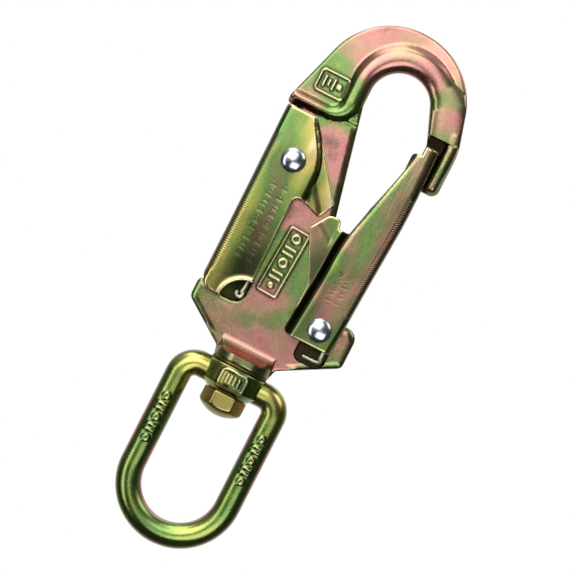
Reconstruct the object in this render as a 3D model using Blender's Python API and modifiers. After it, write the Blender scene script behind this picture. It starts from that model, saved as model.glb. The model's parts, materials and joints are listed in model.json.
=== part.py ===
"""Swivel hook with a sprung gate and a lock lever, made as thirteen separate pieces.

The frame's origin is where the swivel axis meets the inside of the hook's bend. +Z runs up the swivel axis
towards the bend, +X towards the gate and -Y is the front face. Sizes below are in millimetres.
An outline is a list of corners (x, z, corner radius), read around the shape.
"""

import math

import bmesh
import bpy
from mathutils import Vector

MM = 0.001
WELD = 0.000005
ARC_STEP = math.radians(15)

# Thicknesses of the forging, each half of the full thickness
WEB_HALF = 3.0
FLANGE_HALF = 3.6
TONGUE_HALF = 4.0
RIM_HALF = 6.2
EDGE_ROUND = 0.5
TOOL_EDGE_ROUND = 0.35

# The hook's bend: an outer arc, and a smaller inner arc that is set towards the gate
BEND_TOP = 19.2
BEND_OUTER_RADIUS = 27.8
SEAT_TOP = 3.5
SEAT_RADIUS = 11.3
SEAT_CENTRE = (8.2, -7.8)
NOSE_SIDE = 35.7
NOSE_TIP = -32.6
NOSE_STEP = -12.6
SEAT_SLOPE = math.radians(21.8)

# The neck, its cove and the shank that the eye turns on
NECK_RADIUS = 11.25
NECK_BOTTOM = -119.1
COVE_FOOT = -116.2
COVE_RADIUS = 10.0
COVE_HALF = 3.25
SHANK_RADIUS = 5.0
THREAD_RADIUS = 4.6
SHANK_STEP = -130.2
SHANK_END = -138.4

# The eye
COLLAR_RADIUS = 11.3
COLLAR_TOP = -120.2
COLLAR_BOTTOM = -130.3
COLLAR_BORE = 5.3
EYE_BAR_RADIUS = 4.75
EYE_HALF_WIDTH = 19.05
EYE_SHOULDER = -124.8
EYE_SHOULDER_RADIUS = 6.3
EYE_FOOT_CENTRE = -167.1

# Washers and the nut
WASHER_THICKNESS = 0.6
RUNNING_GAP = 0.3
UPPER_WASHER_RADIUS = 9.6
LOWER_WASHER_RADIUS = 7.2
WASHER_RECESS_RADIUS = 7.6
NUT_TOP = -130.75
NUT_BOTTOM = -139.0
NUT_ACROSS_FLATS = 14.8
NUT_BORE = 4.9
NUT_DOME_RADIUS = 12.6

# Sheet metal of the gate and the lever
SHEET = 1.8
OUTER_LEVEL = 8.1
INNER_LEVEL = 4.3
CORNER_RADIUS = 2.1
GATE_PIVOT = (19.7, -94.5)
LEVER_PIVOT = (-16.8, -43.5)
GATE_JOGGLE_RUN = -4.7
LEVER_JOGGLE_RUN = 1.5
SPINE_WINDOW_HALF = 5.9
GATE_SPINE_TOP = -34.4
GATE_SPINE_BOTTOM = -87.6

# Rivets, bushes and springs
RIVET_RADIUS = 2.4
RIVET_HEAD_RADIUS = 4.65
RIVET_HEAD_HEIGHT = 2.3
RIVET_HEAD_SEAT = 9.3
HOLE_RADIUS = 2.7
BUSH_RADIUS = 3.9
BUSH_HALF_LENGTH = 6.9
BUSH_HOLE_RADIUS = 4.2
COIL_RADIUS = 5.0
COIL_STEP = math.radians(30)
GATE_WIRE_RADIUS = 0.7
LEVER_WIRE_RADIUS = 0.6

WEB_OUTLINE = [
    (-24.1, -25.4, 0.5), (-28.6, -25.4, 1.5), (-28.6, -22.6, 2.0),
    (-15.65, BEND_TOP, BEND_OUTER_RADIUS), (26.1, BEND_TOP, BEND_OUTER_RADIUS),
    (NOSE_SIDE, -14.3, 21.9), (NOSE_SIDE, NOSE_TIP, 3.0), (24.1, NOSE_TIP, 1.5), (24.0, -16.5, 0.5),
    (15.86, SEAT_TOP, SEAT_RADIUS), (-3.1, SEAT_TOP, SEAT_RADIUS), (-3.1, -14.2, 10.0),
    (9.9, -69.4, 15.0), (13.0, -88.9, 8.0), (33.2, -88.9, 4.4), (33.2, -103.2, 2.5),
    (12.0, -114.9, 0.0), (10.2, -117.6, 0.0), (-10.2, -117.6, 0.0), (-10.9, -116.4, 0.0),
    (-28.1, -104.4, 3.3), (-28.1, -96.6, 1.8), (-24.4, -96.4, 0.7), (-17.9, -99.6, 2.0),
    (-8.9, -99.6, 4.4), (-9.1, -90.5, 3.6), (-24.1, -45.3, 2.2),
]
FLANGE_OUTLINE = [
    (-28.2, -23.5, 0.0), (-28.2, -22.1, 1.0),
    (-15.4, BEND_TOP - 0.3, BEND_OUTER_RADIUS - 0.4), (25.85, BEND_TOP - 0.3, BEND_OUTER_RADIUS - 0.4),
    (NOSE_SIDE - 0.3, -14.3, 21.6), (NOSE_SIDE - 0.3, -26.0, 0.0), (31.9, -26.0, 0.0), (31.9, -11.0, 0.0),
    (22.5, -11.0, 0.0), (16.1, SEAT_TOP + 0.6, SEAT_RADIUS + 0.3), (-3.6, SEAT_TOP + 0.6, SEAT_RADIUS + 0.3),
    (-3.6, -18.0, 8.0), (-8.0, -23.5, 4.0),
]
TONGUE_OUTLINE = [
    (24.3, -9.0, 0.0), (34.0, -9.0, 0.0), (NOSE_SIDE - 0.2, -14.0, 8.0),
    (NOSE_SIDE - 0.2, NOSE_TIP + 0.2, 3.0), (24.3, NOSE_TIP + 0.2, 1.5),
]
LEVER_OUTLINE = [
    (-27.9, -25.7, 0.7), (-16.6, -25.7, 0.5), (-6.9, -36.9, 0.0), (4.0, -51.3, 0.5), (0.7, -58.1, 1.5),
    (-6.9, -55.2, 1.1), (-10.1, -55.2, 1.5), (-9.7, -90.2, 0.4), (-18.6, -90.2, 8.6),
    (-18.6, -99.3, 0.4), (-24.8, -99.3, 4.0), (-24.8, -94.7, 0.4), (-27.4, -94.7, 0.5),
]
GATE_OUTLINE = [
    (24.2, -17.2, 0.7), (29.3, -17.2, 0.7), (29.9, -32.6, 0.0), (29.9, -46.4, 0.0), (28.5, -71.9, 0.0),
    (27.9, -88.0, 0.0), (26.2, -100.9, 0.7), (12.0, -100.9, 1.1), (7.7, -100.4, 3.3), (8.2, -81.0, 0.7),
    (-0.5, -62.4, 1.1), (4.0, -55.3, 3.3), (8.9, -54.6, 2.2), (9.5, -58.4, 0.3), (13.9, -58.4, 0.3),
    (16.6, -46.4, 0.0), (19.1, -35.5, 0.0), (21.3, -28.2, 0.0), (21.3, -20.9, 1.8), (24.2, -20.9, 0.3),
]
# Each row of a formed channel: (z, outer face of the spine, start of the joggle)
LEVER_ROWS = [
    (-24.0, -27.9, -18.1), (-27.8, -27.9, -15.8), (-31.1, -27.9, -13.9), (-35.8, -27.9, -10.6),
    (-39.5, -27.8, -8.6), (-43.9, -27.8, -7.7), (-49.3, -27.7, -7.5), (-58.5, -27.6, -8.0),
    (-76.0, -27.5, -8.0), (-101.0, -27.4, -8.0),
]
GATE_ROWS = [
    (-15.5, 29.3, 24.2), (-24.5, 29.6, 23.2), (-35.5, 29.9, 20.6), (-46.4, 29.9, 18.1),
    (-57.3, 29.3, 15.4), (-61.7, 29.1, 14.6), (-75.6, 28.4, 14.2), (-90.2, 27.8, 13.1),
    (-102.5, 26.8, 12.2),
]
LEVER_FREE_EDGE = 6.5
GATE_FREE_EDGE = -3.0


def clear_scene():
    for item in list(bpy.data.objects):
        bpy.data.objects.remove(item)


def new_collection(name):
    collection = bpy.data.collections.new(name)
    bpy.context.scene.collection.children.link(collection)
    return collection


def material(name, colour, roughness, metallic):
    surface = bpy.data.materials.new(name)
    surface.use_nodes = True
    shader = surface.node_tree.nodes["Principled BSDF"]
    shader.inputs["Base Color"].default_value = (*colour, 1.0)
    shader.inputs["Roughness"].default_value = roughness
    shader.inputs["Metallic"].default_value = metallic
    return surface


def finish_piece(piece, surface):
    """Give a finished piece its material and smooth round faces."""
    piece.data.materials.clear()
    piece.data.materials.append(surface)
    piece.data.shade_smooth()
    piece.data.set_sharp_from_angle(angle=math.radians(35))
    return piece


def rounded(corners):
    """Turn corners (x, z, radius) into a closed list of points with each corner as an arc."""
    points = []
    count = len(corners)
    for index, (x, z, radius) in enumerate(corners):
        corner = Vector((x, z))
        if radius <= 0:
            points.append(corner)
            continue
        back = (Vector(corners[index - 1][:2]) - corner).normalized()
        ahead = (Vector(corners[(index + 1) % count][:2]) - corner).normalized()
        half_angle = back.angle(ahead) / 2
        centre = corner + (back + ahead).normalized() * (radius / math.sin(half_angle))
        reach = radius / math.tan(half_angle)
        start = corner + back * reach - centre
        sweep = (corner + ahead * reach - centre).angle_signed(start)
        steps = max(2, round(abs(sweep) / ARC_STEP))
        first = math.atan2(start.y, start.x)
        for step in range(steps + 1):
            angle = first + sweep * step / steps
            points.append(centre + Vector((math.cos(angle), math.sin(angle))) * radius)
    return points


def as_mesh(source, collection):
    """Replace a curve object with a welded mesh object of the same name and place."""
    bpy.context.view_layer.update()
    evaluated = source.evaluated_get(bpy.context.evaluated_depsgraph_get())
    mesh = bpy.data.meshes.new_from_object(evaluated)
    name = source.name
    place = source.matrix_world.copy()
    bpy.data.objects.remove(source)
    weld = bmesh.new()
    weld.from_mesh(mesh)
    bmesh.ops.remove_doubles(weld, verts=weld.verts, dist=WELD)
    bmesh.ops.recalc_face_normals(weld, faces=weld.faces)
    weld.to_mesh(mesh)
    weld.free()
    piece = bpy.data.objects.new(name, mesh)
    piece.matrix_world = place
    collection.objects.link(piece)
    return piece


def plate(name, corners, half, collection, edge=0.0):
    """A flat outline in the XZ plane, extruded the same distance to the front and to the back."""
    curve = bpy.data.curves.new(name, "CURVE")
    curve.dimensions = "2D"
    curve.fill_mode = "BOTH"
    curve.extrude = half * MM
    spline = curve.splines.new("POLY")
    points = rounded(corners)
    spline.points.add(len(points) - 1)
    for target, point in zip(spline.points, points):
        target.co = (point.x * MM, point.y * MM, 0.0, 1.0)
    spline.use_cyclic_u = True
    source = bpy.data.objects.new(name, curve)
    source.rotation_euler = (math.pi / 2, 0.0, 0.0)
    collection.objects.link(source)
    piece = as_mesh(source, collection)
    if edge > 0:
        bevel = piece.modifiers.new("edge", "BEVEL")
        bevel.width = edge * MM
        bevel.segments = 1
        bevel.limit_method = "ANGLE"
        bevel.angle_limit = math.radians(60)
    return piece


def tube(name, path, radius, collection, sides=2):
    """A round bar or wire along a list of points, with filled ends."""
    curve = bpy.data.curves.new(name, "CURVE")
    curve.dimensions = "3D"
    curve.bevel_depth = radius * MM
    curve.bevel_resolution = sides
    curve.use_fill_caps = True
    spline = curve.splines.new("POLY")
    spline.points.add(len(path) - 1)
    for target, point in zip(spline.points, path):
        target.co = (point[0] * MM, point[1] * MM, point[2] * MM, 1.0)
    source = bpy.data.objects.new(name, curve)
    collection.objects.link(source)
    return as_mesh(source, collection)


def turned(name, profile, collection, segments=32, centre=(0.0, 0.0), along_y=False):
    """Turn a profile of (radius, height) around the Z axis, or around a Y axis through centre."""
    mesh = bpy.data.meshes.new(name)
    is_loop = profile[0] == profile[-1]
    vertices = [(radius * MM, 0.0, height * MM) for radius, height in (profile[:-1] if is_loop else profile)]
    edges = [(i, i + 1) for i in range(len(vertices) - 1)]
    if is_loop:
        edges.append((len(vertices) - 1, 0))
    mesh.from_pydata(vertices, edges, [])
    piece = bpy.data.objects.new(name, mesh)
    screw = piece.modifiers.new("turn", "SCREW")
    screw.axis = "Z"
    screw.angle = 2 * math.pi
    screw.steps = segments
    screw.render_steps = segments
    screw.use_merge_vertices = True
    screw.merge_threshold = WELD
    if along_y:
        piece.rotation_euler = (math.pi / 2, 0.0, 0.0)
        piece.location = (centre[0] * MM, 0.0, centre[1] * MM)
    collection.objects.link(piece)
    return piece


def cylinder(name, radius, low, high, collection, centre=(0.0, 0.0), along_y=False):
    """A plain cylinder around the Z axis, or around a Y axis through centre."""
    profile = [(0.0, high), (radius, high), (radius, low), (0.0, low)]
    return turned(name, profile, collection, 32, centre, along_y)


def block(name, low, high, collection):
    """A box between two opposite corners."""
    mesh = bpy.data.meshes.new(name)
    cube = bmesh.new()
    bmesh.ops.create_cube(cube, size=1.0)
    size = [(b - a) * MM for a, b in zip(low, high)]
    middle = [(a + b) / 2 * MM for a, b in zip(low, high)]
    bmesh.ops.scale(cube, verts=cube.verts, vec=size)
    bmesh.ops.translate(cube, verts=cube.verts, vec=middle)
    cube.to_mesh(mesh)
    cube.free()
    piece = bpy.data.objects.new(name, mesh)
    collection.objects.link(piece)
    return piece


def combine(target, tool, operation):
    """Boolean a tool into a target. The tool stays in the cutters' collection, out of the render."""
    tool.hide_render = True
    tool.display_type = "WIRE"
    change = target.modifiers.new(tool.name, "BOOLEAN")
    change.object = tool
    change.operation = operation
    change.solver = "EXACT"
    change.show_viewport = True
    change.show_render = True


def ring(centre, across, half_width, half_depth, sides=16, power=2.6):
    """One section of the raised bead: a rounded rectangle of the given half width and half depth."""
    points = []
    for side in range(sides):
        angle = 2 * math.pi * side / sides
        u = math.copysign(abs(math.cos(angle)) ** (2 / power), math.cos(angle)) * half_width
        v = math.copysign(abs(math.sin(angle)) ** (2 / power), math.sin(angle)) * half_depth
        points.append(((centre[0] + across[0] * u) * MM, v * MM, (centre[1] + across[1] * u) * MM))
    return points


def loft(name, stations, collection):
    """A closed solid through unlike sections: each station is (centre, half width, half depth)."""
    shape = bmesh.new()
    rings = []
    last = len(stations) - 1
    for index, (centre, half_width, half_depth) in enumerate(stations):
        before = Vector(stations[max(index - 1, 0)][0])
        after = Vector(stations[min(index + 1, last)][0])
        way = (after - before).normalized()
        points = ring(centre, (way.y, -way.x), half_width, half_depth)
        rings.append([shape.verts.new(point) for point in points])
    for first, second in zip(rings, rings[1:]):
        for side in range(len(first)):
            after = (side + 1) % len(first)
            shape.faces.new((first[side], first[after], second[after], second[side]))
    shape.faces.new(rings[0])
    shape.faces.new(rings[-1])
    bmesh.ops.recalc_face_normals(shape, faces=shape.faces)
    mesh = bpy.data.meshes.new(name)
    shape.to_mesh(mesh)
    shape.free()
    piece = bpy.data.objects.new(name, mesh)
    collection.objects.link(piece)
    return piece


def mix(a, b, share):
    return a + (b - a) * share


def bead_stations():
    """The bead's centre line: along the lever's top, up the inner leg, over the bend and down to the nose."""
    ledge = -22.4
    corner = (-13.9, -15.8)
    corner_radius = 6.6
    leg_width = 4.2
    stations = [((-28.0, ledge), 1.9, 5.4), ((-21.0, ledge), 2.1, 5.6), ((corner[0], ledge), 2.2, 5.8)]
    for step in range(1, 5):
        share = step / 4
        angle = math.radians(-90 + 90 * share)
        centre = (corner[0] + corner_radius * math.cos(angle), corner[1] + corner_radius * math.sin(angle))
        stations.append((centre, mix(2.2, leg_width, share), mix(5.8, 6.2, share)))
    steps = 12
    for step in range(steps + 1):
        share = step / steps
        angle = math.pi - (math.pi - SEAT_SLOPE) * share
        width = mix(leg_width, 5.4, min(1.0, share * 2)) if share < 0.5 else mix(5.4, 6.0, share * 2 - 1)
        reach = SEAT_RADIUS + width
        centre = (SEAT_CENTRE[0] + reach * math.cos(angle), SEAT_CENTRE[1] + reach * math.sin(angle))
        stations.append((centre, width, mix(6.2, 6.5, share)))
    x, z = stations[-1][0]
    half_run = (z - NOSE_STEP + 1.5) / math.cos(SEAT_SLOPE) / 2
    for step in (1, 2):
        centre = (x + math.sin(SEAT_SLOPE) * half_run * step, z - math.cos(SEAT_SLOPE) * half_run * step)
        stations.append((centre, 6.0, 6.5))
    return stations


def make_hook_body(parts, cutters):
    body = plate("hook_body", WEB_OUTLINE, WEB_HALF, parts, EDGE_ROUND)
    combine(body, plate("flange", FLANGE_OUTLINE, FLANGE_HALF, cutters, TOOL_EDGE_ROUND), "UNION")
    bead = loft("bead", bead_stations(), cutters)
    nose_step = block("nose_step", (18.0, -9.0, -40.0), (40.0, 9.0, NOSE_STEP), cutters)
    combine(bead, nose_step, "DIFFERENCE")
    combine(body, bead, "UNION")
    combine(body, plate("tongue", TONGUE_OUTLINE, TONGUE_HALF, cutters, TOOL_EDGE_ROUND), "UNION")
    rim = [
        ((29.2, -2.0), 1.6, 5.8), ((31.3, -8.0), 2.0, RIM_HALF), ((33.0, -13.5), 2.1, RIM_HALF),
        ((33.4, -20.0), 2.15, RIM_HALF), ((33.4, -26.5), 2.15, RIM_HALF), ((33.4, -28.6), 1.6, 5.0),
    ]
    combine(body, loft("rim", rim, cutters), "UNION")
    neck = cylinder("neck", NECK_RADIUS, NECK_BOTTOM, -104.0, cutters)
    cove = [
        (-COVE_HALF, -100.0, 0.0), (-COVE_HALF, COVE_FOOT, COVE_RADIUS), (-15.0, COVE_FOOT, 0.0),
        (-15.0, NECK_BOTTOM - 1.0, 0.0), (15.0, NECK_BOTTOM - 1.0, 0.0), (15.0, COVE_FOOT, 0.0),
        (COVE_HALF, COVE_FOOT, COVE_RADIUS), (COVE_HALF, -100.0, 0.0),
    ]
    cove_tool = plate("cove", cove, 14.0, cutters)
    cove_tool.rotation_euler = (math.pi / 2, 0.0, math.pi / 2)
    combine(neck, cove_tool, "INTERSECT")
    combine(body, neck, "UNION")
    shank = [
        (0.0, -116.0), (SHANK_RADIUS, -116.0), (SHANK_RADIUS, SHANK_STEP), (THREAD_RADIUS, SHANK_STEP - 0.4),
        (THREAD_RADIUS, SHANK_END + 0.5), (THREAD_RADIUS - 0.6, SHANK_END), (0.0, SHANK_END),
    ]
    combine(body, turned("shank", shank, cutters), "UNION")
    for name, pivot in (("gate_bush_hole", GATE_PIVOT), ("lever_bush_hole", LEVER_PIVOT)):
        hole = cylinder(name, BUSH_HOLE_RADIUS, -8.0, 8.0, cutters, pivot, along_y=True)
        combine(body, hole, "DIFFERENCE")
    recess = [(15.9, -98.0, 0.5), (15.9, -108.2, 3.2), (31.0, -108.2, 0.5), (31.0, -98.0, 0.5)]
    recess_tool = plate("spring_recess", recess, 2.0, cutters)
    recess_tool.location.y = -3.8 * MM
    combine(body, recess_tool, "DIFFERENCE")
    return body


def make_eye(parts, cutters):
    profile = [
        (0.0, COLLAR_TOP), (COLLAR_RADIUS - 1.0, COLLAR_TOP), (COLLAR_RADIUS, COLLAR_TOP - 0.9),
        (COLLAR_RADIUS, COLLAR_BOTTOM + 2.3), (COLLAR_RADIUS - 3.0, COLLAR_BOTTOM), (0.0, COLLAR_BOTTOM),
    ]
    eye = turned("swivel_eye", profile, parts, 32)
    path = [(-7.5, 0.0, EYE_SHOULDER)]
    turn = EYE_HALF_WIDTH - EYE_SHOULDER_RADIUS
    for step in range(6):
        angle = math.radians(90 + 18 * step)
        path.append((
            -turn + EYE_SHOULDER_RADIUS * math.cos(angle), 0.0,
            EYE_SHOULDER - EYE_SHOULDER_RADIUS + EYE_SHOULDER_RADIUS * math.sin(angle),
        ))
    for step in range(13):
        angle = math.pi * (1 + step / 12)
        x, rise = EYE_HALF_WIDTH * math.cos(angle), EYE_HALF_WIDTH * math.sin(angle)
        path.append((x, 0.0, EYE_FOOT_CENTRE + rise))
    path += [(-x, 0.0, z) for x, _, z in reversed(path[:7])]
    combine(eye, tube("eye_bar", path, EYE_BAR_RADIUS, cutters, 6), "UNION")
    bore = cylinder("collar_bore", COLLAR_BORE, COLLAR_BOTTOM - 2.0, COLLAR_TOP + 2.0, cutters)
    combine(eye, bore, "DIFFERENCE")
    recess_depth = WASHER_THICKNESS + RUNNING_GAP - 0.1
    low, high = COLLAR_BOTTOM - 2.0, COLLAR_BOTTOM + recess_depth
    recess = cylinder("washer_recess", WASHER_RECESS_RADIUS, low, high, cutters)
    combine(eye, recess, "DIFFERENCE")
    return eye


def make_washer(name, top, radius, parts):
    inner = SHANK_RADIUS + RUNNING_GAP
    bottom = top - WASHER_THICKNESS
    profile = [(inner, bottom), (inner, top), (radius, top), (radius, bottom), (inner, bottom)]
    return turned(name, profile, parts, 32)


def make_nut(parts, cutters):
    radius = NUT_ACROSS_FLATS / math.sqrt(3)
    mesh = bpy.data.meshes.new("swivel_nut")
    shape = bmesh.new()
    bmesh.ops.create_cone(
        shape, cap_ends=True, segments=6, radius1=radius * MM, radius2=radius * MM,
        depth=(NUT_TOP - NUT_BOTTOM) * MM,
    )
    bmesh.ops.translate(shape, verts=shape.verts, vec=(0.0, 0.0, (NUT_TOP + NUT_BOTTOM) / 2 * MM))
    shape.to_mesh(mesh)
    shape.free()
    nut = bpy.data.objects.new("swivel_nut", mesh)
    nut.rotation_euler = (0.0, 0.0, math.radians(30))
    parts.objects.link(nut)
    profile = [(0.0, NUT_TOP + 1.0), (radius + 1.0, NUT_TOP + 1.0)]
    for step in range(9):
        reach = (radius + 1.0) * (1 - step / 8)
        rise = NUT_DOME_RADIUS - math.sqrt(NUT_DOME_RADIUS**2 - reach**2)
        profile.append((reach, NUT_BOTTOM + rise))
    combine(nut, turned("nut_dome", profile, cutters, 48), "INTERSECT")
    combine(nut, cylinder("nut_bore", NUT_BORE, NUT_BOTTOM - 2.0, NUT_TOP + 2.0, cutters), "DIFFERENCE")
    return nut


def channel_row(z, spine, joggle, joggle_run, free_edge):
    """Middle of the sheet at one height, from the front's free edge round the spine to the back's."""
    towards_spine = -1 if spine < joggle else 1
    centre_line = spine - towards_spine * SHEET / 2
    corner = centre_line - towards_spine * CORNER_RADIUS
    front = [(free_edge, -INNER_LEVEL), (joggle + joggle_run, -INNER_LEVEL), (joggle, -OUTER_LEVEL)]
    for step in range(4):
        angle = math.radians(30 * step)
        x = corner + towards_spine * CORNER_RADIUS * math.sin(angle)
        front.append((x, -(OUTER_LEVEL - CORNER_RADIUS) - CORNER_RADIUS * math.cos(angle)))
    half = [(x * MM, y * MM, z * MM) for x, y in front]
    return half + [(x, -y, height) for x, y, height in reversed(half)]


def formed_channel(name, rows, joggle_run, free_edge, outline, parts, cutters):
    """Bent sheet: an open surface through the rows, thickened and then blanked to its outline."""
    shape = bmesh.new()
    grid = []
    for z, spine, joggle in rows:
        row = channel_row(z, spine, joggle, joggle_run, free_edge)
        grid.append([shape.verts.new(point) for point in row])
    for upper, lower in zip(grid, grid[1:]):
        for column in range(len(upper) - 1):
            shape.faces.new((upper[column], upper[column + 1], lower[column + 1], lower[column]))
    bmesh.ops.recalc_face_normals(shape, faces=shape.faces)
    mesh = bpy.data.meshes.new(name)
    shape.to_mesh(mesh)
    shape.free()
    piece = bpy.data.objects.new(name, mesh)
    parts.objects.link(piece)
    skin = piece.modifiers.new("sheet", "SOLIDIFY")
    skin.thickness = SHEET * MM
    skin.offset = 0.0
    skin.use_even_offset = True
    combine(piece, plate(name + "_blank", outline, 14.0, cutters), "INTERSECT")
    return piece


def make_gate(parts, cutters):
    gate = formed_channel("gate", GATE_ROWS, GATE_JOGGLE_RUN, GATE_FREE_EDGE, GATE_OUTLINE, parts, cutters)
    window = SPINE_WINDOW_HALF
    top_window = block("gate_top_window", (25.0, -window, GATE_SPINE_TOP), (33.0, window, -10.0), cutters)
    combine(gate, top_window, "DIFFERENCE")
    lower = block("gate_bottom_window", (22.0, -window, -110.0), (33.0, window, GATE_SPINE_BOTTOM), cutters)
    combine(gate, lower, "DIFFERENCE")
    hole = cylinder("gate_hole", HOLE_RADIUS, -12.0, 12.0, cutters, GATE_PIVOT, along_y=True)
    combine(gate, hole, "DIFFERENCE")
    return gate


def make_lever(parts, cutters):
    lever = formed_channel(
        "lock_lever", LEVER_ROWS, LEVER_JOGGLE_RUN, LEVER_FREE_EDGE, LEVER_OUTLINE, parts, cutters
    )
    hole = cylinder("lever_hole", HOLE_RADIUS, -12.0, 12.0, cutters, LEVER_PIVOT, along_y=True)
    combine(lever, hole, "DIFFERENCE")
    return lever


def make_rivet(name, pivot, parts):
    """A solid rivet: a shank with a domed head on each side."""
    head = []
    for step in range(6):
        angle = math.radians(90 - 18 * step)
        radius, rise = RIVET_HEAD_RADIUS * math.cos(angle), RIVET_HEAD_HEIGHT * math.sin(angle)
        head.append((radius, RIVET_HEAD_SEAT + rise))
    head.append((RIVET_RADIUS, RIVET_HEAD_SEAT))
    profile = head + [(radius, -height) for radius, height in reversed(head)]
    return turned(name, profile, parts, 24, pivot, along_y=True)


def make_bush(name, pivot, parts):
    """The spacer that the channel's walls turn against, through the forging."""
    length = BUSH_HALF_LENGTH
    profile = [
        (HOLE_RADIUS, -length), (HOLE_RADIUS, length), (BUSH_RADIUS, length), (BUSH_RADIUS, -length),
        (HOLE_RADIUS, -length),
    ]
    return turned(name, profile, parts, 24, pivot, along_y=True)


def coil(pivot, depth, pitch, turns):
    """Points of a coil around a pivot, from its right side, anticlockwise as seen from the front."""
    steps = round(turns * 2 * math.pi / COIL_STEP)
    points = []
    for step in range(steps + 1):
        angle = step * COIL_STEP
        points.append((
            pivot[0] + COIL_RADIUS * math.cos(angle), depth - pitch * angle / (2 * math.pi),
            pivot[1] + COIL_RADIUS * math.sin(angle),
        ))
    return points


def make_gate_spring(parts):
    """A torsion spring: one leg lies in the forging's recess, the other presses the spine outwards."""
    turns = coil(GATE_PIVOT, -4.1, 1.9, 1)
    x = turns[0][0]
    low = [
        (18.9, -3.0, -105.3), (23.4, -3.0, -105.3), (24.6, -3.1, -104.6), (x, -3.6, -103.0),
        (x, -4.1, -100.5),
    ]
    high = [(x, -6.0, -88.0), (x + 0.5, -5.8, -79.0), (x + 0.9, -5.3, -74.0)]
    return tube("gate_spring", low + turns + high, GATE_WIRE_RADIUS, parts)


def make_lever_spring(parts):
    """A torsion spring: one leg ends in a loop in the lever's cut-out, the other presses the spine.

    The long leg runs close behind the lever's wall, where the gate's wing passes under it.
    """
    turns = coil(LEVER_PIVOT, -3.95, 1.35, 1.5)
    leg_depth = -6.2
    loop_centre = (-12.3, -95.6)
    loop_radius = 1.35
    low = []
    for step in range(10):
        angle = math.radians(-210 + 30 * step)
        low.append((
            loop_centre[0] + loop_radius * math.cos(angle), leg_depth,
            loop_centre[1] + loop_radius * math.sin(angle),
        ))
    low += [(-11.4, leg_depth, -92.0), (-11.8, leg_depth, -87.0), (-11.8, leg_depth, -56.0), (-11.8, -3.95, -48.0)]
    x, y, _ = turns[-1]
    high = [(x - 0.4, y, -48.0), (x - 2.2, y, -56.0), (x - 2.9, y, -63.0)]
    return tube("lever_spring", low + turns + high, LEVER_WIRE_RADIUS, parts)


def hang_on(name, place, pieces, collection):
    """Parent pieces to an empty on their joint's axis, leaving them where they are."""
    pivot = bpy.data.objects.new(name, None)
    pivot.location = [value * MM for value in place]
    collection.objects.link(pivot)
    bpy.context.view_layer.update()
    for piece in pieces:
        piece.parent = pivot
        piece.matrix_parent_inverse = pivot.matrix_world.inverted()


def build():
    clear_scene()
    parts = new_collection("swivel_hook")
    cutters = new_collection("cutters")
    forged = material("forged_plating", (0.50, 0.47, 0.17), 0.32, 1.0)
    stamped = material("stamped_plating", (0.42, 0.48, 0.16), 0.30, 1.0)
    turned_steel = material("turned_plating", (0.42, 0.33, 0.14), 0.36, 1.0)
    bright = material("bright_steel", (0.78, 0.80, 0.82), 0.12, 1.0)
    spring_steel = material("spring_steel", (0.62, 0.60, 0.55), 0.25, 1.0)
    bronze = material("bronze", (0.55, 0.38, 0.18), 0.35, 1.0)

    finish_piece(make_hook_body(parts, cutters), forged)
    eye = finish_piece(make_eye(parts, cutters), forged)
    finish_piece(make_washer("upper_washer", NECK_BOTTOM - 0.25, UPPER_WASHER_RADIUS, parts), bronze)
    lower_top = COLLAR_BOTTOM + WASHER_THICKNESS - 0.1
    finish_piece(make_washer("lower_washer", lower_top, LOWER_WASHER_RADIUS, parts), bronze)
    finish_piece(make_nut(parts, cutters), turned_steel)
    gate = finish_piece(make_gate(parts, cutters), stamped)
    gate_spring = finish_piece(make_gate_spring(parts), spring_steel)
    finish_piece(make_bush("gate_bush", GATE_PIVOT, parts), turned_steel)
    finish_piece(make_rivet("gate_rivet", GATE_PIVOT, parts), bright)
    lever = finish_piece(make_lever(parts, cutters), stamped)
    lever_spring = finish_piece(make_lever_spring(parts), spring_steel)
    finish_piece(make_bush("lever_bush", LEVER_PIVOT, parts), turned_steel)
    finish_piece(make_rivet("lever_rivet", LEVER_PIVOT, parts), bright)

    hang_on("swivel_axis", (0.0, 0.0, COLLAR_TOP), [eye], parts)
    hang_on("gate_pivot", (GATE_PIVOT[0], 0.0, GATE_PIVOT[1]), [gate, gate_spring], parts)
    hang_on("lever_pivot", (LEVER_PIVOT[0], 0.0, LEVER_PIVOT[1]), [lever, lever_spring], parts)


build()
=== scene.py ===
"""Looks of the swivel hook: fine meshes, plated and bright metal, studio light and camera.

Lengths are in millimetres in the part's own frame until a mesh is made, which is in metres. The origin is
where the swivel axis meets the inside of the bend, +Z runs up that axis, +X is the gate's side and -Y is the
front. An outline is a list of corners (x, z, corner radius).
"""

import json
import math

import bpy
import numpy as np
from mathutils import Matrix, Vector
from mathutils.geometry import delaunay_2d_cdt


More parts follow.
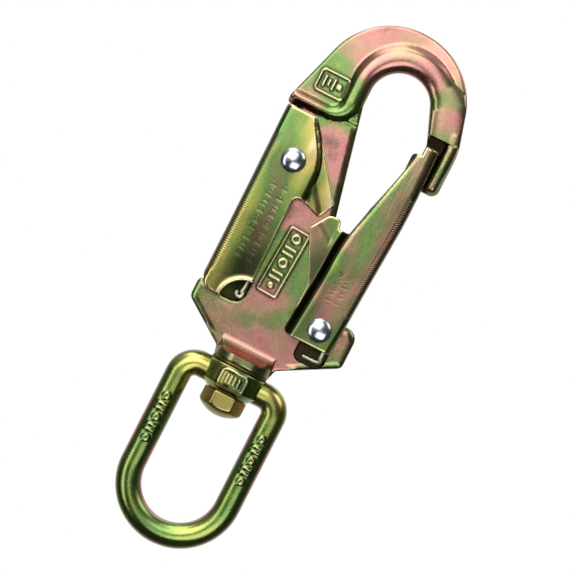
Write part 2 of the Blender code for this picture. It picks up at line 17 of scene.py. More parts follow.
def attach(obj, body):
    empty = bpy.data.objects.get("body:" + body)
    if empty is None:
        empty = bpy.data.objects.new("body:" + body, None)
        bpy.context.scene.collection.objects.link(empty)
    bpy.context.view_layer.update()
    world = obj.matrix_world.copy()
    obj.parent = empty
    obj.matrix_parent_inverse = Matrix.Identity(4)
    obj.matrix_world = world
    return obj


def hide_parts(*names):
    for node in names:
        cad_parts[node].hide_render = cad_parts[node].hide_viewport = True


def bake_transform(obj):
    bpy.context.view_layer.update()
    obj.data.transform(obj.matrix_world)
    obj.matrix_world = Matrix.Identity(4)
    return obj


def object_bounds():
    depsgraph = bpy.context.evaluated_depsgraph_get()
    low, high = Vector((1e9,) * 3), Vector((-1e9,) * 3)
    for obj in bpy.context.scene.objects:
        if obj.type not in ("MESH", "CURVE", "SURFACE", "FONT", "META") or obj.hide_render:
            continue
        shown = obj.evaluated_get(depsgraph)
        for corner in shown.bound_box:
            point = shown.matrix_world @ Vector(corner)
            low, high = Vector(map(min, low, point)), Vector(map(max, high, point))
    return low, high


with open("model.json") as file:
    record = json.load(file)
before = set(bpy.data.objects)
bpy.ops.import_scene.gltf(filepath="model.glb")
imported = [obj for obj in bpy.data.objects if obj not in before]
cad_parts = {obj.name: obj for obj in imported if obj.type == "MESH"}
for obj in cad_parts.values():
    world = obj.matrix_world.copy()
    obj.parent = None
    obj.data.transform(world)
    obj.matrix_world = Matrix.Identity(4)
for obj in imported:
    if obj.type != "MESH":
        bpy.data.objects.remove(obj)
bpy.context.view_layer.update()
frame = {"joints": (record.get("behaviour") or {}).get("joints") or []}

MM = 0.001
MESH_STEP = 0.5

# Forging
WEB_HALF = 3.0
FLANGE_HALF = 3.6
FLANGE_HALF_AT_NOSE = 5.5
TONGUE_HALF = 3.9
FORGING_EDGE = 0.9
PANEL_RELIEF = 0.3
PANEL_LINE = 0.4
RECESS_FLOOR_HALF = 0.6
SEAT_RADIUS = 11.3
SEAT_CENTRE = (8.2, -7.8)
SEAT_SLOPE = math.radians(21.8)
LEDGE_HEIGHT = -21.9
NOSE_STEP = -12.6
NECK_RADIUS = 11.25
NECK_BOTTOM = -119.3
NECK_FLARE_HALF = 10.9
NECK_BLEND = 0.7
COVE_FOOT = -116.2
COVE_RISE = 7.0
COVE_REFLECTION_HEIGHT = -114.6
SHANK_RADIUS = 4.6
SHANK_BOTTOM = -138.4

# Eye, washers and nut
COLLAR_RADIUS = 11.3
BORE_RADIUS = 5.3
COLLAR_TOP = -120.2
COLLAR_BOTTOM = -130.3
EYE_BAR_RADIUS = 4.75
EYE_HALF_WIDTH = 19.05
EYE_SHOULDER = -124.8
EYE_SHOULDER_RADIUS = 6.3
EYE_FOOT_CENTRE = -167.1
LEG_MARK_TOPS = (-140.8, -139.5)
LEG_MARK_RELIEF = 0.4
COLLAR_MARKS_HEIGHT = -125.2
COLLAR_MARKS_RELIEF = 0.3
WASHER_THICKNESS = 0.7
UPPER_WASHER_RADIUS = 10.9
LOWER_WASHER_RADIUS = 7.2
NUT_TOP = -130.5
NUT_BOTTOM = -139.0
NUT_ACROSS_FLATS = 14.8
NUT_DOME_RADIUS = 12.6

# Sheet metal
SHEET = 1.8
OUTER_LEVEL = 8.1
INNER_LEVEL = 4.3
BEND_RADIUS = 2.1
SPINE_FLAT = OUTER_LEVEL - BEND_RADIUS
WALL_START = SPINE_FLAT + BEND_RADIUS * math.pi / 2
SERRATION_PITCH = 0.85
SERRATION_DEPTH = 0.3

# Rivets and springs
RIVET_RADIUS = 2.4
RIVET_HEAD_RADIUS = 4.65
RIVET_HEAD_SEAT = 9.3
RIVET_HEAD_HEIGHT = 2.3
COIL_RADIUS = 5.0
LEVER_LEG_DEPTH = -6.2
LEVER_LOOP_CENTRE = (-12.3, -95.6)
LEVER_LOOP_RADIUS = 1.15
LEVER_COIL_DEPTH = -3.95
LEVER_WIRE_RADIUS = 0.7
GATE_COIL_DEPTH = -4.1
GATE_WIRE_RADIUS = 0.85


def joint_place(name):
    """A joint's axis point in millimetres, (x, z)."""
    joint = next(j for j in frame["joints"] if j["name"] == name)
    return joint["pos_m"][0] / MM, joint["pos_m"][2] / MM


GATE_PIVOT = joint_place("gate_open")
LEVER_PIVOT = joint_place("lever_squeeze")


# ---- flat outlines


def rounded(corners, step=0.4):
    """A closed loop of points about a step apart through corners (x, z, radius), each rounded to an arc."""
    turns = []
    count = len(corners)
    for index, (x, z, radius) in enumerate(corners):
        corner = Vector((x, z))
        if radius <= 0:
            turns.append([corner])
            continue
        back = (Vector(corners[index - 1][:2]) - corner).normalized()
        ahead = (Vector(corners[(index + 1) % count][:2]) - corner).normalized()
        half_angle = back.angle(ahead) / 2
        centre = corner + (back + ahead).normalized() * (radius / math.sin(half_angle))
        start = corner + back * (radius / math.tan(half_angle)) - centre
        end = corner + ahead * (radius / math.tan(half_angle)) - centre
        sweep = end.angle_signed(start)
        steps = max(3, math.ceil(abs(sweep) * radius / step))
        first = math.atan2(start.y, start.x)
        arc = []
        for number in range(steps + 1):
            angle = first + sweep * number / steps
            arc.append(centre + Vector((math.cos(angle), math.sin(angle))) * radius)
        turns.append(arc)
    points = []
    for index, arc in enumerate(turns):
        points += arc
        gap = turns[(index + 1) % count][0] - arc[-1]
        pieces = max(1, round(gap.length / step))
        points += [arc[-1] + gap * (piece / pieces) for piece in range(1, pieces)]
    return np.array([(p.x, p.y) for p in points])


def depth_inside(points, loop):
    """How deep each point lies inside a closed loop, negative outside it."""
    start = loop
    along = np.roll(loop, -1, axis=0) - loop
    length_squared = np.maximum((along**2).sum(1), 1e-12)
    rise = np.where(np.abs(along[:, 1]) < 1e-12, 1e-12, along[:, 1])
    depths = []
    for part in np.array_split(points, max(1, len(points) // 3000)):
        reach = part[:, None, :] - start[None]
        share = np.clip((reach * along[None]).sum(2) / length_squared, 0, 1)
        distance = np.linalg.norm(reach - share[..., None] * along[None], axis=2).min(1)
        above = start[None, :, 1] > part[:, None, 1]
        crosses = (above != np.roll(above, -1, axis=1)) & (reach[..., 0] < along[:, 0] * reach[..., 1] / rise)
        depths.append(np.where(crosses.sum(1) % 2 == 1, distance, -distance))
    return np.concatenate(depths)


def fill_outline(loop, edge_radius, step, fine_areas):
    """Points and triangles that fill a loop: the loop, rings that follow its rounded edge, and a grid inside.

    fine_areas are boxes (low x, high x, low z, high z, x step, z step) with a closer grid.
    """
    ahead = np.roll(loop, -1, axis=0) - np.roll(loop, 1, axis=0)
    inward = np.stack([-ahead[:, 1], ahead[:, 0]], axis=1)
    inward /= np.linalg.norm(inward, axis=1)[:, None]
    area = np.sum(loop[:, 0] * np.roll(loop[:, 1], -1) - np.roll(loop[:, 0], -1) * loop[:, 1])
    inward *= math.copysign(1, area)
    chosen = [loop]
    for angle in (25, 45, 68, 90):
        offset = edge_radius * (1 - math.cos(math.radians(angle)))
        ring = loop + inward * offset
        chosen.append(ring[np.abs(depth_inside(ring, loop) - offset) < 0.04])
    low, high = loop.min(0), loop.max(0)
    grids = [(low[0], high[0], low[1], high[1], step, step), *fine_areas]
    for number, (x0, x1, z0, z1, x_step, z_step) in enumerate(grids):
        across, up = np.meshgrid(np.arange(x0, x1, x_step), np.arange(z0, z1, z_step), indexing="ij")
        grid = np.stack([across.ravel(), up.ravel()], axis=1)
        for later in grids[number + 1:]:
            within = (grid[:, 0] > later[0]) & (grid[:, 0] < later[1])
            grid = grid[~(within & (grid[:, 1] > later[2]) & (grid[:, 1] < later[3]))]
        chosen.append(grid[depth_inside(grid, loop) > edge_radius + 0.35 * min(x_step, z_step)])
    points = np.concatenate(chosen)
    count = len(loop)
    edges = [(i, (i + 1) % count) for i in range(count)]
    made = delaunay_2d_cdt([Vector(p) for p in points], edges, [], 1, 1e-7)
    flat = np.array([(p.x, p.y) for p in made[0]])
    return flat, np.array(made[2]), edge_list(np.array(made[2]))


def edge_list(triangles):
    """The directed edges that only one triangle has: the border of the filled outline."""
    edges = np.concatenate([triangles[:, [0, 1]], triangles[:, [1, 2]], triangles[:, [2, 0]]])
    order = np.sort(edges, axis=1)
    _, index, counts = np.unique(order, axis=0, return_index=True, return_counts=True)
    return edges[index[counts == 1]]


# ---- meshes


def make_object(name, points, faces, film=None, edge=None, shade=None):
    """A smooth mesh object from points in millimetres. film, edge and shade drive its plating's colour:
    edge lays a painted highlight on it and shade a painted shade.
    """
    mesh = bpy.data.meshes.new(name)
    mesh.from_pydata((np.asarray(points) * MM).tolist(), [], [list(map(int, face)) for face in faces])
    for label, values in (("film", film), ("edge", edge), ("shade", shade)):
        if values is not None:
            attribute = mesh.attributes.new(label, "FLOAT", "POINT")
            attribute.data.foreach_set("value", np.asarray(values, np.float32))
    mesh.validate()
    piece = bpy.data.objects.new(name, mesh)
    bpy.context.scene.collection.objects.link(piece)
    mesh.shade_smooth()
    mesh.set_sharp_from_angle(angle=math.radians(50))
    return piece


def grid_faces(rows, columns, close_rows=False):
    """Quads over points given row by row, where each row closes on itself."""
    faces = []
    for row in range(rows if close_rows else rows - 1):
        low, high = row * columns, (row + 1) % rows * columns
        for column in range(columns):
            after = (column + 1) % columns
            faces.append((low + column, low + after, high + after, high + column))
    return faces


def slab(name, loop, edge_radius, step, skins, paint, fine_areas=(), flip=False):
    """A closed plate.

    skins(points, depth) gives its outer and inner faces, and paint(points, depth) its film, its painted edge
    highlight, and the painted shade of each face.
    """
    flat, triangles, border = fill_outline(loop, edge_radius, step, fine_areas)
    depth = np.maximum(depth_inside(flat, loop), 0)
    outer, inner = skins(flat, depth)
    count = len(flat)
    sides = [(a, b, b + count, a + count) for a, b in border]
    if flip:
        faces = [t[::-1] for t in triangles] + [t + count for t in triangles] + sides
    else:
        faces = list(triangles) + [(t + count)[::-1] for t in triangles] + [s[::-1] for s in sides]
    film, edge, shade, inner_shade = paint(flat, depth)
    points = np.concatenate([outer, inner])
    shades = np.concatenate([shade, inner_shade])
    return make_object(name, points, faces, np.tile(film, 2), np.tile(edge, 2), shades)


def round_over(depth, radius):
    """How far a rounded edge has dropped, at a depth inside the outline."""
    left = np.clip(radius - depth, 0, radius)
    return radius - np.sqrt(radius**2 - left**2)


def smooth_max(a, b, blend):
    """The larger of two heights, with a fillet where they meet."""
    overlap = np.clip(blend - np.abs(a - b), 0, None) / blend
    return np.maximum(a, b) + overlap**2 * blend / 4


def smooth_step(value, low, high):
    """An eased share, 0 up to low and 1 from high."""
    share = np.clip((value - low) / (high - low), 0, 1)
    return share * share * (3 - 2 * share)


def ridge(points, stations):
    """Height of a rounded ridge along stations (centre, half width, half depth, power), below zero off it."""
    centres = np.array([s[0] for s in stations])
    sizes = np.array([s[1:] for s in stations])
    best = np.full(len(points), 1e9)
    size = np.ones((len(points), 3))
    for number in range(len(stations) - 1):
        along = centres[number + 1] - centres[number]
        reach = points - centres[number]
        share = np.clip(reach @ along / (along @ along), 0, 1)[:, None]
        distance = np.linalg.norm(reach - share * along, axis=1)
        nearer = distance < best
        best = np.where(nearer, distance, best)
        size = np.where(nearer[:, None], sizes[number] + (sizes[number + 1] - sizes[number]) * share, size)
    width, height, power = size.T
    inside = np.clip(1 - (best / width) ** power, 0, None)
    return np.where(best < width, height * inside ** (1 / power), -5.0 * (best - width))


def box_distance(points, centre, half, radius, tilt=0.0):
    """Signed distance to a rounded box, negative inside, for raised borders and bars."""
    turn = np.array([[math.cos(tilt), math.sin(tilt)], [-math.sin(tilt), math.cos(tilt)]])
    local = np.abs((points - centre) @ turn.T) - (np.array(half) - radius)
    return np.linalg.norm(np.maximum(local, 0), axis=1) + np.minimum(local.max(1), 0) - radius


def blend_patches(points, patches, spread_x, spread_z):
    """Smooth mix of values set at listed spots (x, z, value)."""
    total = np.zeros(len(points))
    weight = np.full(len(points), 1e-12)
    for x, z, value in patches:
        near = np.exp(-(((points[:, 0] - x) / spread_x) ** 2 + ((points[:, 1] - z) / spread_z) ** 2) / 2)
        total += near * value
        weight += near
    return total / weight


def waviness(x, z, size):
    """Slow unevenness of a forged or pressed face, between about -1 and 1."""
    return (
        np.sin(x / size + 1.7 * np.sin(z / (size * 1.9)))
        * np.cos(z / (size * 1.3) + 1.1 * np.sin(x / (size * 1.4) + 0.6))
    )


# ---- forging


WEB_OUTLINE = [
    (-24.1, -25.4, 0.5), (-28.6, -25.4, 1.5), (-28.6, -22.6, 2), (-15.65, 19.2, 27.8), (26.1, 19.2, 27.8),
    (35.7, -14.3, 21.9), (35.7, -32.6, 3), (24.1, -32.6, 1.5), (24, -16.5, 0.5), (15.86, 3.5, 11.3),
    (-3.1, 3.5, 11.3), (-3.1, -14.2, 10), (9.9, -69.4, 15), (13, -88.9, 8), (33.2, -88.9, 4.4),
    (33.2, -103.2, 2.5), (12.2, -114.9, 0.6), (10.9, NECK_BOTTOM, 0), (-10.7, NECK_BOTTOM, 0),
    (-11.4, -115.9, 0.6), (-28.1, -104.4, 3.3), (-28.1, -96.6, 1.8), (-24.4, -96.4, 0.7),
    (-17.9, -98.9, 2), (-10.1, -98.9, 4.4), (-10.3, -90.5, 3.6), (-24.1, -45.3, 2.2),
]
# Spots (x, z, film): cream at 0, gold 0.14, lime 0.28, green 0.42, olive 0.55, tan 0.68, rose 0.82
FORGING_FILM = [
    (-24, -15, 0.46), (-20, -6, 0.44), (-16.5, 2.5, 0.6), (-12, 8.5, 0.8), (-3, 15, 0.82), (10, 17, 0.78),
    (20, 15, 0.72), (25.5, 9.5, 0.72), (28.5, 5, 0.6), (-16, -6, 0.4), (-19.5, -18.3, 0.42),
    (-8.3, -2, 0.8), (-9, -9.5, 0.48), (-8.5, -15.5, 0.4), (-6, 6.5, 0.76), (-1, 11.8, 0.66),
    (4, 12.4, 0.62), (9, 12.8, 0.66), (0.5, 8.8, 0.74), (10, 9.6, 0.78), (17.4, 11, 0.82),
    (16, 7.6, 0.84), (22.5, 6, 0.44), (26, 0.8, 0.42), (28.3, -4.2, 0.8), (31, -6.4, 0.82),
    (25.5, -8, 0.6), (29.5, -11, 0.38), (33.3, -14, 0.6), (33.2, -20, 0.5), (32.8, -27, 0.46),
    (31.5, -31.5, 0.78), (-22, -21.5, 0.78), (-12, -22, 0.42), (-3.5, -21, 0.42), (-7.5, -29.5, 0.84),
    (-4.3, -34.5, 0.82), (-1.5, -40, 0.74), (1, -47, 0.5), (-3, -52, 0.8), (-6.6, -60, 0.84),
    (-1, -62, 0.76), (-3.3, -72, 0.42), (3, -73, 0.42), (-3.3, -84, 0.42), (5, -85, 0.46), (1, -93, 0.8),
    (-2, -91.5, 0.72), (-8.2, -95.5, 0.84), (-2.5, -96.5, 0.8), (-24.5, -100, 0.5), (-18.5, -103.5, 0.56),
    (-12.5, -101, 0.84), (-13.5, -105.5, 0.6), (-6.5, -102.4, 0.38), (-1.5, -100.4, 0.34),
    (3, -98.8, 0.33), (7.5, -97.2, 0.38), (-7, -107, 0.64), (-1.5, -105.8, 0.8), (5, -104, 0.82),
    (9.5, -101.2, 0.8), (12.5, -107.5, 0.74), (-2, -110, 0.76), (0.4, -113, 0.76), (0, -116, 0.66),
    (0, -118.5, 0.24), (29.5, -94, 0.7), (30, -99, 0.5), (22, -107.5, 0.62),
]
UPPER_PANEL = (-16.6, -12.4)
UPPER_PANEL_HALF = (5.4, 4.1)
LOWER_PANEL = (-3.2, -78.2)
LOWER_PANEL_HALF = (3.7, 12.8)
LOWER_PANEL_TILT = math.radians(-3.0)
LOWER_PANEL_MARKS = [
    (9.5, (1.9, 1.9)), (5.4, (2.4, 0.55)), (3.2, (2.4, 0.55)), (-0.4, (1.9, 1.9)), (-4.4, (2.4, 0.55)),
    (-6.6, (2.4, 0.55)), (-9.6, (1.1, 1.1)),
]
LEVER_SIDE_CENTRE = (-15.5, -72.5)
LEVER_SIDE_HALF = (9.5, 28.5)
RECESS_CENTRE = (20.9, -99.0)
RECESS_HALF = (5.8, 8.8)
# Boxes (centre, half size) of painted shade under the nose's hood and on the tongue beside the rim
NOSE_SHADOW_BOXES = [((26.9, -14.9), (3.5, 2.1)), ((30.0, -22.0), (0.9, 9.5))]


def bead_stations():
    """The raised bead: along the ledge over the lever, up the inner leg, over the bend, down to the nose."""
    corner = (-13.9, LEDGE_HEIGHT + 6.6)
    stations = [((-31.0, LEDGE_HEIGHT), 2.5, 5.6, 2.3), ((corner[0], LEDGE_HEIGHT), 2.6, 5.9, 2.3)]
    for number in range(1, 9):
        angle = math.radians(-90 + 90 * number / 8)
        centre = (corner[0] + 6.6 * math.cos(angle), corner[1] + 6.6 * math.sin(angle))
        stations.append((centre, 2.6 + 1.7 * number / 8, 5.9 + 0.4 * number / 8, 2.4))
    steps = 48
    for number in range(steps + 1):
        share = number / steps
        angle = math.pi - (math.pi - SEAT_SLOPE) * share
        width = float(np.interp(share, (0, 0.45, 0.86, 1), (4.3, 5.5, 5.5, 7.5)))
        power = float(np.interp(share, (0, 0.80, 1), (2.4, 2.7, 4.0)))
        reach = SEAT_RADIUS + width
        centre = (SEAT_CENTRE[0] + reach * math.cos(angle), SEAT_CENTRE[1] + reach * math.sin(angle))
        stations.append((centre, width, 6.3 + 0.2 * share, power))
    x, z = stations[-1][0]
    run = z - NOSE_STEP + 4
    stations.append(((x + math.tan(SEAT_SLOPE) * run, z - run), 8.1, 6.5, 4.4))
    return stations


RIM_STATIONS = [
    ((32.2, -10.0), 2.9, 6.2, 3.2), ((32.8, -15.0), 2.9, 6.4, 2.6), ((32.9, -22.0), 2.9, 6.4, 2.4),
    ((32.7, -29.6), 2.9, 6.1, 2.4),
]


def panel_marks(points):
    """Signed distance to the raised lines of two blank panels: borders with plain pips and bars inside."""
    upper = np.abs(box_distance(points, UPPER_PANEL, UPPER_PANEL_HALF, 1.2)) - PANEL_LINE
    for offset, half in ((-3.1, (0.45, 2.2)), (-1.3, (0.45, 1.3)), (0.5, (0.45, 2.2)), (2.7, (1.1, 1.1))):
        centre = (UPPER_PANEL[0] + offset, UPPER_PANEL[1])
        upper = np.minimum(upper, box_distance(points, centre, half, min(half)))
    lower = np.abs(box_distance(points, LOWER_PANEL, LOWER_PANEL_HALF, 0.8, LOWER_PANEL_TILT)) - PANEL_LINE
    along = np.array([math.sin(-LOWER_PANEL_TILT), math.cos(-LOWER_PANEL_TILT)])
    for offset, half in LOWER_PANEL_MARKS:
        centre = np.array(LOWER_PANEL) + along * offset
        shape = box_distance(points, centre, half, min(half), LOWER_PANEL_TILT)
        if half[0] == half[1]:
            shape = np.abs(shape + 0.5) - 0.5
        lower = np.minimum(lower, shape)
    return np.minimum(upper, lower)


COVE_START = WEB_HALF - NECK_BLEND


def cove_height(z):
    """Half depth of the cove that runs from the web's face out to the neck's top edge."""
    rise = np.clip((z - COVE_FOOT) / COVE_RISE, 0, 1)
    return COVE_START + (NECK_RADIUS - COVE_START) * (1 - np.sqrt(1 - (1 - rise) ** 2))


def forging_height(points):
    """Half thickness of the forging before its edges are rounded."""
    x, z = points[:, 0], points[:, 1]
    on_flange = smooth_step(z, LEDGE_HEIGHT - 1, LEDGE_HEIGHT + 1)
    flange = FLANGE_HALF + (FLANGE_HALF_AT_NOSE - FLANGE_HALF) * smooth_step(x, 6, 26)
    height = WEB_HALF + (flange - WEB_HALF) * on_flange
    on_tongue = (1 - smooth_step(z, NOSE_STEP - 0.4, NOSE_STEP)) * smooth_step(x, 20, 21)
    on_tongue *= smooth_step(z, -60, -50)
    height = height * (1 - on_tongue) + TONGUE_HALF * on_tongue
    height = height + 0.04 * waviness(x, z, 5.5) + PANEL_RELIEF * smooth_step(-panel_marks(points), -0.2, 0.2)
    bead = ridge(points, bead_stations())
    right_side = smooth_step(x, 18, 19)
    bead = np.minimum(bead, np.where(right_side > 0.5, TONGUE_HALF + (z - NOSE_STEP + 0.35) * 9, 99))
    height = smooth_max(height, bead, 1.5)
    height = smooth_max(height, ridge(points, RIM_STATIONS), 1.0)
    barrel = np.sqrt(np.clip(NECK_RADIUS**2 - x**2, 0.01, None))
    flared = COVE_START + (NECK_RADIUS - COVE_START) * np.clip(1 - (x / NECK_FLARE_HALF) ** 2, 0, 1) ** 0.85
    barrel = barrel + (flared - barrel) * smooth_step(z, COVE_FOOT - 0.2, COVE_FOOT + 2.4)
    neck = -smooth_max(-barrel, -cove_height(z), 1.0)
    return np.where(z < COVE_FOOT + COVE_RISE, smooth_max(height, neck, NECK_BLEND), height)


def recess_share(points):
    """1 inside the recess for the gate's spring, on the front only."""
    return smooth_step(-box_distance(points, RECESS_CENTRE, RECESS_HALF, 3.0), -0.15, 0.25)


def forging_skins(points, depth):
    x, z = points[:, 0], points[:, 1]
    height = forging_height(points)
    on_web = smooth_step(z, -113, -110) * (1 - smooth_step(z, -26, -20))
    beside_lever = smooth_step(box_distance(points, LEVER_SIDE_CENTRE, LEVER_SIDE_HALF, 1.0), -1.0, 1.0)
    draft = 0.85 * np.clip(1 - depth / 2.3, 0, 1) ** 1.2 * on_web * beside_lever
    height = height - draft - round_over(depth, FORGING_EDGE)
    front = height - (height - RECESS_FLOOR_HALF) * recess_share(points)
    return np.stack([x, -front, z], axis=1), np.stack([x, height, z], axis=1)


def paint_forging(points, depth):
    x, z = points[:, 0], points[:, 1]
    film = blend_patches(points, FORGING_FILM, 3.2, 3.2) + 0.05 * waviness(x, z, 3.1)
    # A painted reflection: an orange line across the cove under the neck's highlight
    cove_reflection = np.exp(-(((z - COVE_REFLECTION_HEIGHT) / 0.8) ** 2)) * (1 - smooth_step(np.abs(x), 6, 9))
    film = film + (1.0 - film) * cove_reflection
    on_web = (z < -26) & (z > -112)
    along_edge = np.clip(1 - depth / 2.6, 0, 1) * on_web
    film = film * (1 - 0.85 * along_edge) + 0.36 * along_edge
    marks = panel_marks(points)
    # Painted shade in the grooves round the raised lines; painted highlight on the lines and the outline
    groove = np.exp(-(((marks - PANEL_LINE) / PANEL_LINE) ** 2))
    edge = 0.85 * smooth_step(-marks, -0.1, 0.15) + 0.1 * np.clip(1 - depth / 0.9, 0, 1)
    # Painted shade under the nose's hood and on the tongue between the gate and the rim
    nose_shadow = np.min([box_distance(points, centre, half, 0.6) for centre, half in NOSE_SHADOW_BOXES], axis=0)
    nose_shadow = smooth_step(-nose_shadow, -0.6, 0.3)
    back_shade = np.maximum(0.75 * groove, nose_shadow)
    # Painted shade in the recess for the gate's spring, on the front
    shade = np.maximum(back_shade, 0.93 * recess_share(points))
    return film, edge, shade, back_shade


def make_forging():
    fine = [
        (-23.0, -10.5, -17.4, -7.4, 0.2, 0.2), (-8.2, 2.0, -92.0, -64.5, 0.2, 0.2),
        (20.0, 33.0, -13.8, -11.6, 0.25, 0.14), (14.5, 28.0, -109.5, -99.5, 0.25, 0.25),
        (-12.5, 12.5, -118.9, -108.6, 0.3, 0.18),
    ]
    loop = rounded(WEB_OUTLINE)[::-1]
    return slab("forged_hook", loop, FORGING_EDGE, MESH_STEP, forging_skins, paint_forging, fine)


# ---- pressed channels


def smooth_line(rows, column, heights):
    """A row's value at each height, with the corners between rows eased."""
    table = np.array(sorted(rows))
    shifts = (-4.0, -2.0, 0.0, 2.0, 4.0)
    return np.mean([np.interp(heights + shift, table[:, 0], table[:, column]) for shift in shifts], axis=0)


class Channel:
    """A sheet bent round the forging: a flat spine, two rounded bends and two walls, each with a joggle."""

    def __init__(self, rows, side, run, joggle_shade):
        self.rows = rows
        self.side = side
        self.run = run
        self.joggle_shade = joggle_shade

    def spine(self, heights):
        return smooth_line(self.rows, 1, heights) - self.side * SHEET / 2

    def unroll(self, corners):
        """Corners of a wall with x as the distance from the spine's middle, round the bend."""
        spine = self.spine(np.array([z for _, z, _ in corners]))
        start = WALL_START - BEND_RADIUS
        return [(start + abs(x - float(from_x)), z, radius) for (x, z, radius), from_x in zip(corners, spine)]

    def place(self, u, z):
        """Middle of the sheet at a distance u from the spine's middle, positive on the front."""
        reach = np.abs(u)
        spine = self.spine(z)
        turn = np.clip((reach - SPINE_FLAT) / BEND_RADIUS, 0, math.pi / 2)
        out = np.clip(reach - WALL_START, 0, None) + BEND_RADIUS
        start = np.abs(smooth_line(self.rows, 2, z) - spine)
        share = smooth_step(out, start, start + self.run)
        level = OUTER_LEVEL - (OUTER_LEVEL - INNER_LEVEL) * share
        inward = np.where(reach > WALL_START, out, BEND_RADIUS * (1 - np.cos(turn)))
        y = np.where(reach > WALL_START, level, np.minimum(reach, SPINE_FLAT) + BEND_RADIUS * np.sin(turn))
        return np.stack([spine - self.side * inward, -np.sign(u + 1e-9) * y, z], axis=1)

    def normals(self, u, z):
        """Outward direction of the sheet."""
        small = 0.05
        across = self.place(u + small, z) - self.place(u - small, z)
        up = self.place(u, z + small) - self.place(u, z - small)
        normal = np.cross(across, up) * -self.side
        return normal / np.linalg.norm(normal, axis=1)[:, None]


def teeth_share(u, z, low, high):
    """Where the grip teeth are pressed into both bends, and where their grooves are, each 0 to 1."""
    reach = np.abs(u)
    past_wall = smooth_step(reach, WALL_START - 1, WALL_START)
    across = smooth_step(reach, SPINE_FLAT - 1, SPINE_FLAT) * (1 - past_wall)
    along = smooth_step(z, low, low + 2) * (1 - smooth_step(z, high - 2, high))
    wave = 0.5 + 0.5 * np.cos(z * 2 * math.pi / SERRATION_PITCH)
    return across * along, across * along * wave**1.3


def make_channel(name, channel, loop, teeth, edge_radius, relief, paint):
    def skins(points, depth):
        u, z = points[:, 0], points[:, 1]
        middle = channel.place(u, z)
        normal = channel.normals(u, z)
        half = SHEET / 2 - round_over(depth, edge_radius)
        outer = half - SERRATION_DEPTH * teeth_share(u, z, *teeth)[1]
        outer = outer + relief(points, middle) + 0.03 * waviness(u, z, 6.0)
        return middle + normal * outer[:, None], middle - normal * half[:, None]

    def colour(points, depth):
        u, z = points[:, 0], points[:, 1]
        middle = channel.place(u, z)
        film, edge, shade = paint(points, middle, depth)
        on_teeth, groove = teeth_share(u, z, *teeth)
        # Painted highlight on the teeth's crests, and painted shade over the bends and deeper in the grooves
        edge = np.maximum(edge, 0.45 * np.clip(on_teeth - groove * 1.6, 0, 1))
        shade = np.maximum(shade, 0.5 * on_teeth + 0.48 * groove)
        level = np.abs(middle[:, 1])
        # Painted shade on the joggle's step
        in_joggle = smooth_step(OUTER_LEVEL - level, 0.3, 0.9) * smooth_step(level - INNER_LEVEL, 0.2, 0.7)
        shade = np.maximum(shade, channel.joggle_shade * in_joggle * (np.abs(u) > WALL_START))
        # The inner faces get painted shade
        return film, edge, shade, np.maximum(0.82, shade)

    fine = []
    for sign in (-1, 1):
        ends = sorted((sign * (SPINE_FLAT - 1.1), sign * (WALL_START + 1.0)))
        fine.append((*ends, *teeth, 0.45, SERRATION_PITCH / 6))
    return slab(name, loop, edge_radius, MESH_STEP, skins, colour, fine, flip=channel.side > 0)


def both_walls(front, back):
    """A closed loop from the front half's corners and the back half's, mirrored."""
    return rounded(front + [(-u, z, radius) for u, z, radius in reversed(back)])


# Rows (z, outside of the spine, start of the joggle)
LEVER_ROWS = [
    (-24, -27.9, -18.1), (-27.8, -27.9, -15.8), (-31.1, -27.9, -13.9), (-35.8, -27.9, -10.6),
    (-39.5, -27.8, -8.6), (-43.9, -27.8, -7.7), (-49.3, -27.7, -7.5), (-58.5, -27.6, -8),
    (-76, -27.5, -8), (-101, -27.4, -8),
]
GATE_ROWS = [
    (-15.5, 29.3, 24.2), (-24.5, 29.6, 23.2), (-35.5, 29.9, 20.6), (-46.4, 29.9, 18.1),
    (-57.3, 29.3, 15.4), (-61.7, 29.1, 14.6), (-75.6, 28.4, 14.2), (-90.2, 27.8, 13.1),
    (-102.5, 26.8, 12.2),
]
LEVER_TOP = -25.7
LEVER_BOTTOM = -99.3
LEVER_SPINE_BOTTOM = -94.7
GATE_TOP = -17.2
GATE_BOTTOM = -100.9
GATE_SPINE_TOP = -34.4
GATE_SPINE_BOTTOM = -87.6
LEVER_TEETH = (-93.0, -36.0)
GATE_TEETH = (-87.0, -36.0)
CUT_OUT_CENTRE = (-10.0, -98.8)
CUT_OUT_RADIUS = 8.6
# Spots (x, z, film or painted shade)
# The cream spots near the top and along the arm are painted highlight; the others set the film's colour
LEVER_FILM = [
    (-24.5, -30, 0.42), (-24, -45, 0.36), (-24, -60, 0.25), (-24, -75, 0.22), (-24, -90, 0.2),
    (-20.5, -29, 0.34), (-20.5, -38, 0.44), (-20.5, -50, 0.46), (-20.5, -65, 0.38), (-20.5, -80, 0.44),
    (-20.5, -94, 0.24), (-16.5, -28, 0.04), (-16.5, -36, 0.26), (-16.5, -44, 0.42), (-16.5, -58, 0.52),
    (-16.5, -72, 0.57), (-16.5, -86, 0.5), (-13, -34, 0.06), (-12, -41, 0.14), (-12, -48, 0.24),
    (-12, -58, 0.38), (-12, -70, 0.46), (-12, -84, 0.42), (-6.5, -38.5, 0.16), (-3.5, -42, 0.18),
    (-6, -45, 0.42), (-4, -48.5, 0.2), (-0.5, -47.5, 0.12), (-2, -54, 0.22), (1.5, -52, 0.1),
    (-6.5, -52.5, 0.42),
]
